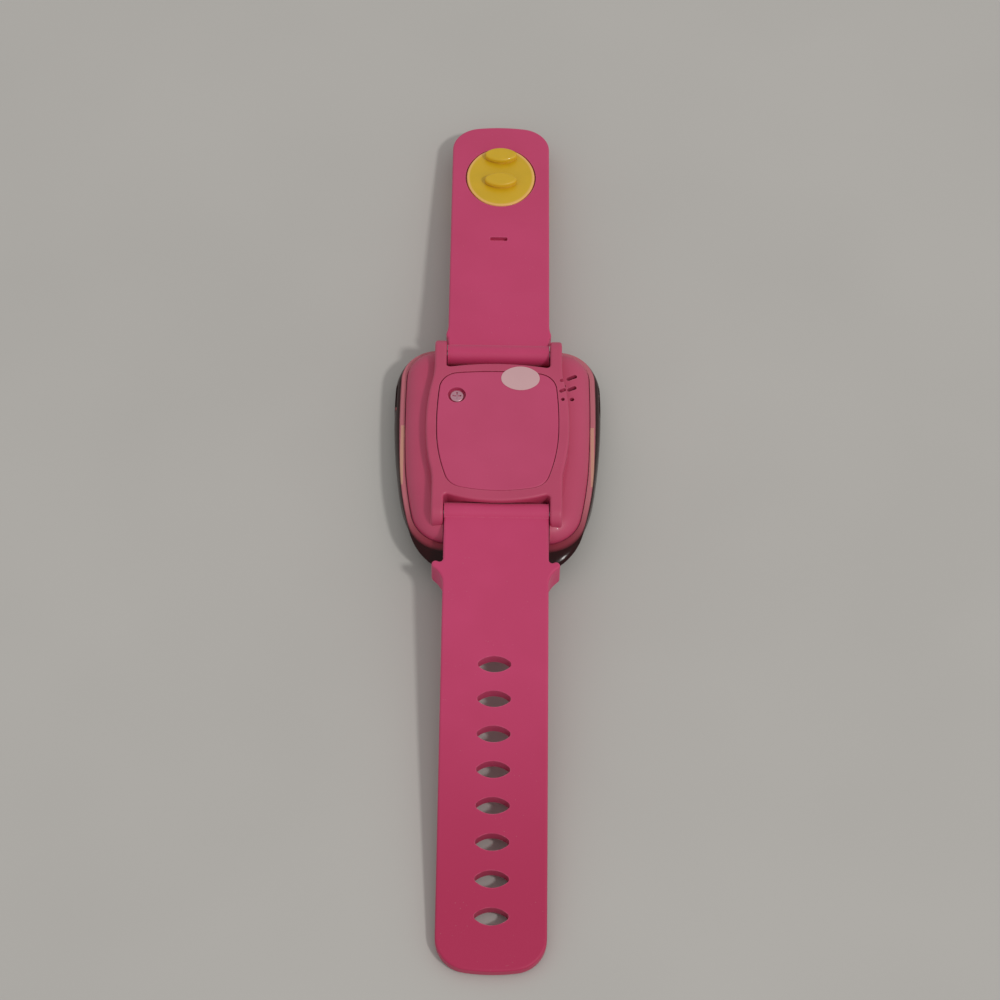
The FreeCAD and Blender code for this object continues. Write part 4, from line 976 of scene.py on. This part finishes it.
@dataclass
class Front:
    """Clear bezel, window, display, camera and the controls on the case's edge."""

    home_y: float = -22.0
    home_ring_r: float = 1.7
    home_ring_wire: float = 0.13
    home_ring_level: float = 0.3
    side_face: float = 23.55
    side_middle_z: float = 4.8
    ridge_low_y: float = 11.2
    ridge_wide: float = 0.5
    ridge_sunk: float = 0.1
    ridge_high: float = 0.14
    ridge_half_length: float = 0.6
    ridge_inset: float = 0.1
    ridge_crown: float = 0.04
    ridge_pitch: float = 1.55
    tab_low: Point = (-23.8, 9.9, 4.1)
    tab_high: Point = (-23.4, 10.4, 5.5)
    tab_inset: float = 0.12
    tab_crown: float = 0.05
    tab_edge: float = 0.06

    def build(self) -> None:
        """Makes the pieces and dresses them."""
        DRESSER.dress(("front_bezel",), CLEAR_ROSE)
        DRESSER.dress(("front_lens",), WINDOW)
        DRESSER.dress(("display_module",), DISPLAY)
        DRESSER.dress(("camera_window", "camera_module"), CAMERA_GLASS)
        DRESSER.dress(("mid_frame",), PINK_INNER)
        DRESSER.dress(("home_button", "side_button"), PINK_BUTTON)
        DRESSER.dress(("port_cover",), ROSE_RUBBER)
        DRESSER.dress(("accent_strip_left", "accent_strip_right"), STRIP_YELLOW)
        self.home_ring()
        self.side_ridges()
        self.cover_tab()

    def home_ring(self) -> None:
        """A plain raised ring on the home button."""
        ring = Bench.hoop("home_button_ring", self.home_ring_r, self.home_ring_wire,
                          (0.0, self.home_y, self.home_ring_level))
        Bench.smooth(ring)
        DRESSER.fit(ring, PINK_BUTTON, "home_button")

    def side_ridges(self) -> None:
        """Three ridges across the side button."""
        x, y, z, half = self.side_face, self.ridge_low_y, self.side_middle_z, self.ridge_half_length
        first = Bench.block("side_button_ridges", (x - self.ridge_sunk, y, z - half),
                            (x + self.ridge_high, y + self.ridge_wide, z + half))
        Bench.raised(first, lambda face: face.normal.x > FACES_IT, self.ridge_inset, (self.ridge_crown, 0.0, 0.0))
        Bench.smooth(first)
        copies = [Bench.copy_to(first, (0.0, self.ridge_pitch * k, 0.0)) for k in (1, 2)]
        ridges = Bench.merge("side_button_ridges", [first, *copies])
        DRESSER.fit(ridges, PINK_BUTTON, "side_button")

    def cover_tab(self) -> None:
        """A nail grip on the port cover's free end."""
        tab = Bench.block("port_cover_tab", self.tab_low, self.tab_high)
        Bench.raised(tab, lambda face: face.normal.x < -FACES_IT, self.tab_inset, (-self.tab_crown, 0.0, 0.0))
        Bench.soften(tab, self.tab_edge)
        DRESSER.fit(tab, ROSE_RUBBER, "port_cover")


@dataclass
class Works:
    """Circuit board and what it carries."""

    board_top: float = 5.3
    chips: tuple[tuple[float, float, float, float, float], ...] = (
        (6.2, -8.0, 5.0, 5.0, 0.9), (6.6, 0.4, 3.4, 2.6, 0.7), (-13.6, -14.0, 3.0, 4.2, 0.8),
        (-6.0, -16.6, 4.4, 3.2, 0.8), (2.4, -15.4, 3.4, 3.4, 0.9), (-12.8, 6.4, 3.8, 2.4, 0.6),
        (-3.0, 10.8, 4.2, 3.4, 0.8),
    )
    chip_inset: float = 0.18
    chip_crown: float = 0.06
    chip_edge: float = 0.04
    small_rows: tuple[tuple[float, float, int], ...] = ((5.6, -12.6, 6), (-14.8, -6.0, 5), (-8.6, 7.0, 6))
    small_size: Point = (1.0, 0.5, 0.45)
    small_end: float = 0.12
    small_pitch: float = 0.9
    tongue_low: Point = (-19.6, 11.0, 5.45)
    tongue_high: Point = (-15.5, 14.6, 5.8)
    tongue_inset: float = 0.08
    tongue_nose: float = 0.1
    tongue_edge: float = 0.04
    contact_low: Point = (-19.3, 11.4, 5.8)
    contact_high: Point = (-15.8, 11.7, 5.86)
    contact_inset: float = 0.05
    contact_crown: float = 0.02
    contact_pitch: float = 0.83

    def build(self) -> None:
        """Makes the pieces and dresses them."""
        DRESSER.dress(("main_circuit_board",), BOARD)
        DRESSER.dress(("processor_shield", "microphone", "home_switch", "side_switch", "charging_socket"), TINNED)
        DRESSER.dress(("speaker",), BLACK)
        self.board_chips()
        self.capacitors()
        self.socket_tongue()

    def board_chips(self) -> None:
        """Chips with chamfered tops."""
        made = []
        for x, y, wide, deep, high in self.chips:
            low = (x, y, self.board_top)
            chip = Bench.block("board_chips", low, (x + wide, y + deep, self.board_top + high))
            Bench.raised(chip, lambda face: face.normal.z > FACES_IT, self.chip_inset, (0.0, 0.0, self.chip_crown))
            made.append(chip)
        chips = Bench.merge("board_chips", made)
        Bench.soften(chips, self.chip_edge, 1)
        DRESSER.fit(chips, BLACK, "case")

    def capacitors(self) -> None:
        """Rows of small two-ended parts."""
        long, wide, high = self.small_size
        first = Bench.block("board_capacitors", (0.0, 0.0, self.board_top), (long, wide, self.board_top + high))
        with Bench.editing(first, lambda face: abs(face.normal.x) > FACES_IT):
            bpy.ops.mesh.extrude_region_shrink_fatten(TRANSFORM_OT_shrink_fatten={"value": self.small_end * MM})
        made = [Bench.copy_to(first, (x, y + self.small_pitch * k, 0.0)) for x, y, count in self.small_rows
                for k in range(count)]
        bpy.data.objects.remove(first)
        DRESSER.fit(Bench.merge("board_capacitors", made), TINNED, "case")

    def socket_tongue(self) -> None:
        """The charging socket's tongue and its four contacts."""
        tongue = Bench.block("socket_tongue", self.tongue_low, self.tongue_high)
        Bench.raised(tongue, lambda face: face.normal.x < -FACES_IT, self.tongue_inset,
                     (-self.tongue_nose, 0.0, 0.0))
        Bench.soften(tongue, self.tongue_edge)
        DRESSER.fit(tongue, BLACK, "case")
        first = Bench.block("socket_contacts", self.contact_low, self.contact_high)
        Bench.raised(first, lambda face: face.normal.z > FACES_IT, self.contact_inset,
                     (0.0, 0.0, self.contact_crown))
        contacts = [first] + [Bench.copy_to(first, (0.0, self.contact_pitch * k, 0.0)) for k in (1, 2, 3)]
        DRESSER.fit(Bench.merge("socket_contacts", contacts), GOLD, "case")


@dataclass
class Straps:
    """Both straps, and the clasp on the shorter one."""

    clasp_y: float = 77.04
    clasp_level: float = 7.07
    clasp_tilt: float = 5.1
    cap_depth: float = 6.15
    ring_r: float = 4.8
    ring_wire: float = 0.22

    def build(self) -> None:
        """Makes the pieces and dresses them."""
        DRESSER.dress(("clasp_strap", "hole_strap"), PINK_STRAP)
        DRESSER.dress(("clasp_stud",), STUD_YELLOW)
        DRESSER.dress(("clasp_cap",), YELLOW)
        self.cap_ring()

    def cap_ring(self) -> None:
        """A plain raised ring on the cap's outer side."""
        tilt = math.radians(self.clasp_tilt)
        y = self.clasp_y - self.cap_depth * math.sin(tilt)
        z = self.clasp_level - self.cap_depth * math.cos(tilt)
        ring = Bench.hoop("clasp_cap_ring", self.ring_r, self.ring_wire, (0.0, y, z), -self.clasp_tilt)
        Bench.smooth(ring)
        DRESSER.fit(ring, YELLOW, "clasp_strap")


# ---------------------------------------------------------------- studio
@dataclass
class Studio:
    """Floor, soft light and the camera at the photograph's viewing angle."""

    azimuth: float = -0.48
    tilt: float = 32.1678
    distance: float = 688.5548
    focal: float = 107.194
    roll: float = 1.2615
    target: tuple[float, float] = (0.8202, -11.2877)
    sensor: float = 36.0
    near_clip: float = 10.0
    floor_size: float = 3.0
    floor_level: float = -0.06
    floor_colour: Colour = (0.565, 0.55, 0.522)
    floor_mottling: float = 0.965
    key_from: Point = (0.62, -0.52, 1.0)
    key_distance: float = 4.0
    key_size: float = 0.42
    key_power: float = 44.0
    key_colour: Colour = (1.0, 0.985, 0.96)
    sky_colour: Colour = (1.0, 0.99, 0.98)
    sky_strength: float = 0.52

    def build(self) -> None:
        """Makes everything that isn't the watch."""
        self.camera()
        self.floor()
        self.lights()

    def camera(self) -> None:
        """Sets the camera that was fitted to the photograph's outlines."""
        a, t, r = (math.radians(v) for v in (self.azimuth, self.tilt, self.roll))
        back = Vector((math.sin(a) * math.sin(t), -math.cos(a) * math.sin(t), math.cos(t)))
        right = Vector((0.0, 0.0, 1.0)).cross(back).normalized()
        up = back.cross(right)
        across = math.cos(r) * right + math.sin(r) * up
        upward = -math.sin(r) * right + math.cos(r) * up
        place = Vector((*self.target, 0.0)) * MM + back * self.distance * MM
        data = bpy.data.cameras.new("photo_camera")
        data.lens = self.focal
        data.sensor_width = self.sensor
        data.clip_start = self.near_clip * MM
        camera = bpy.data.objects.new("photo_camera", data)
        camera.matrix_world = Matrix((
            (across.x, upward.x, back.x, place.x),
            (across.y, upward.y, back.y, place.y),
            (across.z, upward.z, back.z, place.z),
            (0.0, 0.0, 0.0, 1.0),
        ))
        bpy.context.scene.collection.objects.link(camera)
        bpy.context.scene.camera = camera

    def floor(self) -> None:
        """A plain pale floor with a faint mottling."""
        Bench.clear()
        bpy.ops.mesh.primitive_plane_add(size=self.floor_size, location=(0.0, 0.0, self.floor_level * MM))
        floor = bpy.context.object
        floor.name = "studio_floor"
        finish = Finish("pale_floor", self.floor_colour, tuple(c * self.floor_mottling for c in self.floor_colour),
                        roughness=0.85, grain_scale=700.0, grain_height=0.02, cloud_scale=14.0,
                        edge_share=0.0, dust_share=0.0, specular=0.2)
        floor.data.materials.append(finish.build())

    def lights(self) -> None:
        """One key light from the right and the camera's side, and an even sky."""
        way = Vector(self.key_from).normalized()
        data = bpy.data.lights.new("key", "AREA")
        data.shape = "DISK"
        data.size = self.key_size
        data.energy = self.key_power
        data.color = self.key_colour
        key = bpy.data.objects.new("key", data)
        key.location = way * self.key_distance
        key.rotation_euler = way.to_track_quat("Z", "Y").to_euler()
        bpy.context.scene.collection.objects.link(key)
        world = bpy.data.worlds.new("soft_sky")
        bpy.context.scene.world = world
        world.use_nodes = True
        sky = world.node_tree.nodes["Background"]
        sky.inputs["Color"].default_value = (*self.sky_colour, 1.0)
        sky.inputs["Strength"].default_value = self.sky_strength
        bpy.context.scene.view_settings.view_transform = "Standard"


def main() -> None:
    """Builds the studio and every sub-assembly."""
    logging.basicConfig(level=logging.INFO, format="%(name)s: %(message)s")
    for part in (Studio(), CaseBack(), Battery(), Front(), Works(), Straps()):
        log.info("building %s", type(part).__name__)
        part.build()


if __name__ == "__main__":
    main()
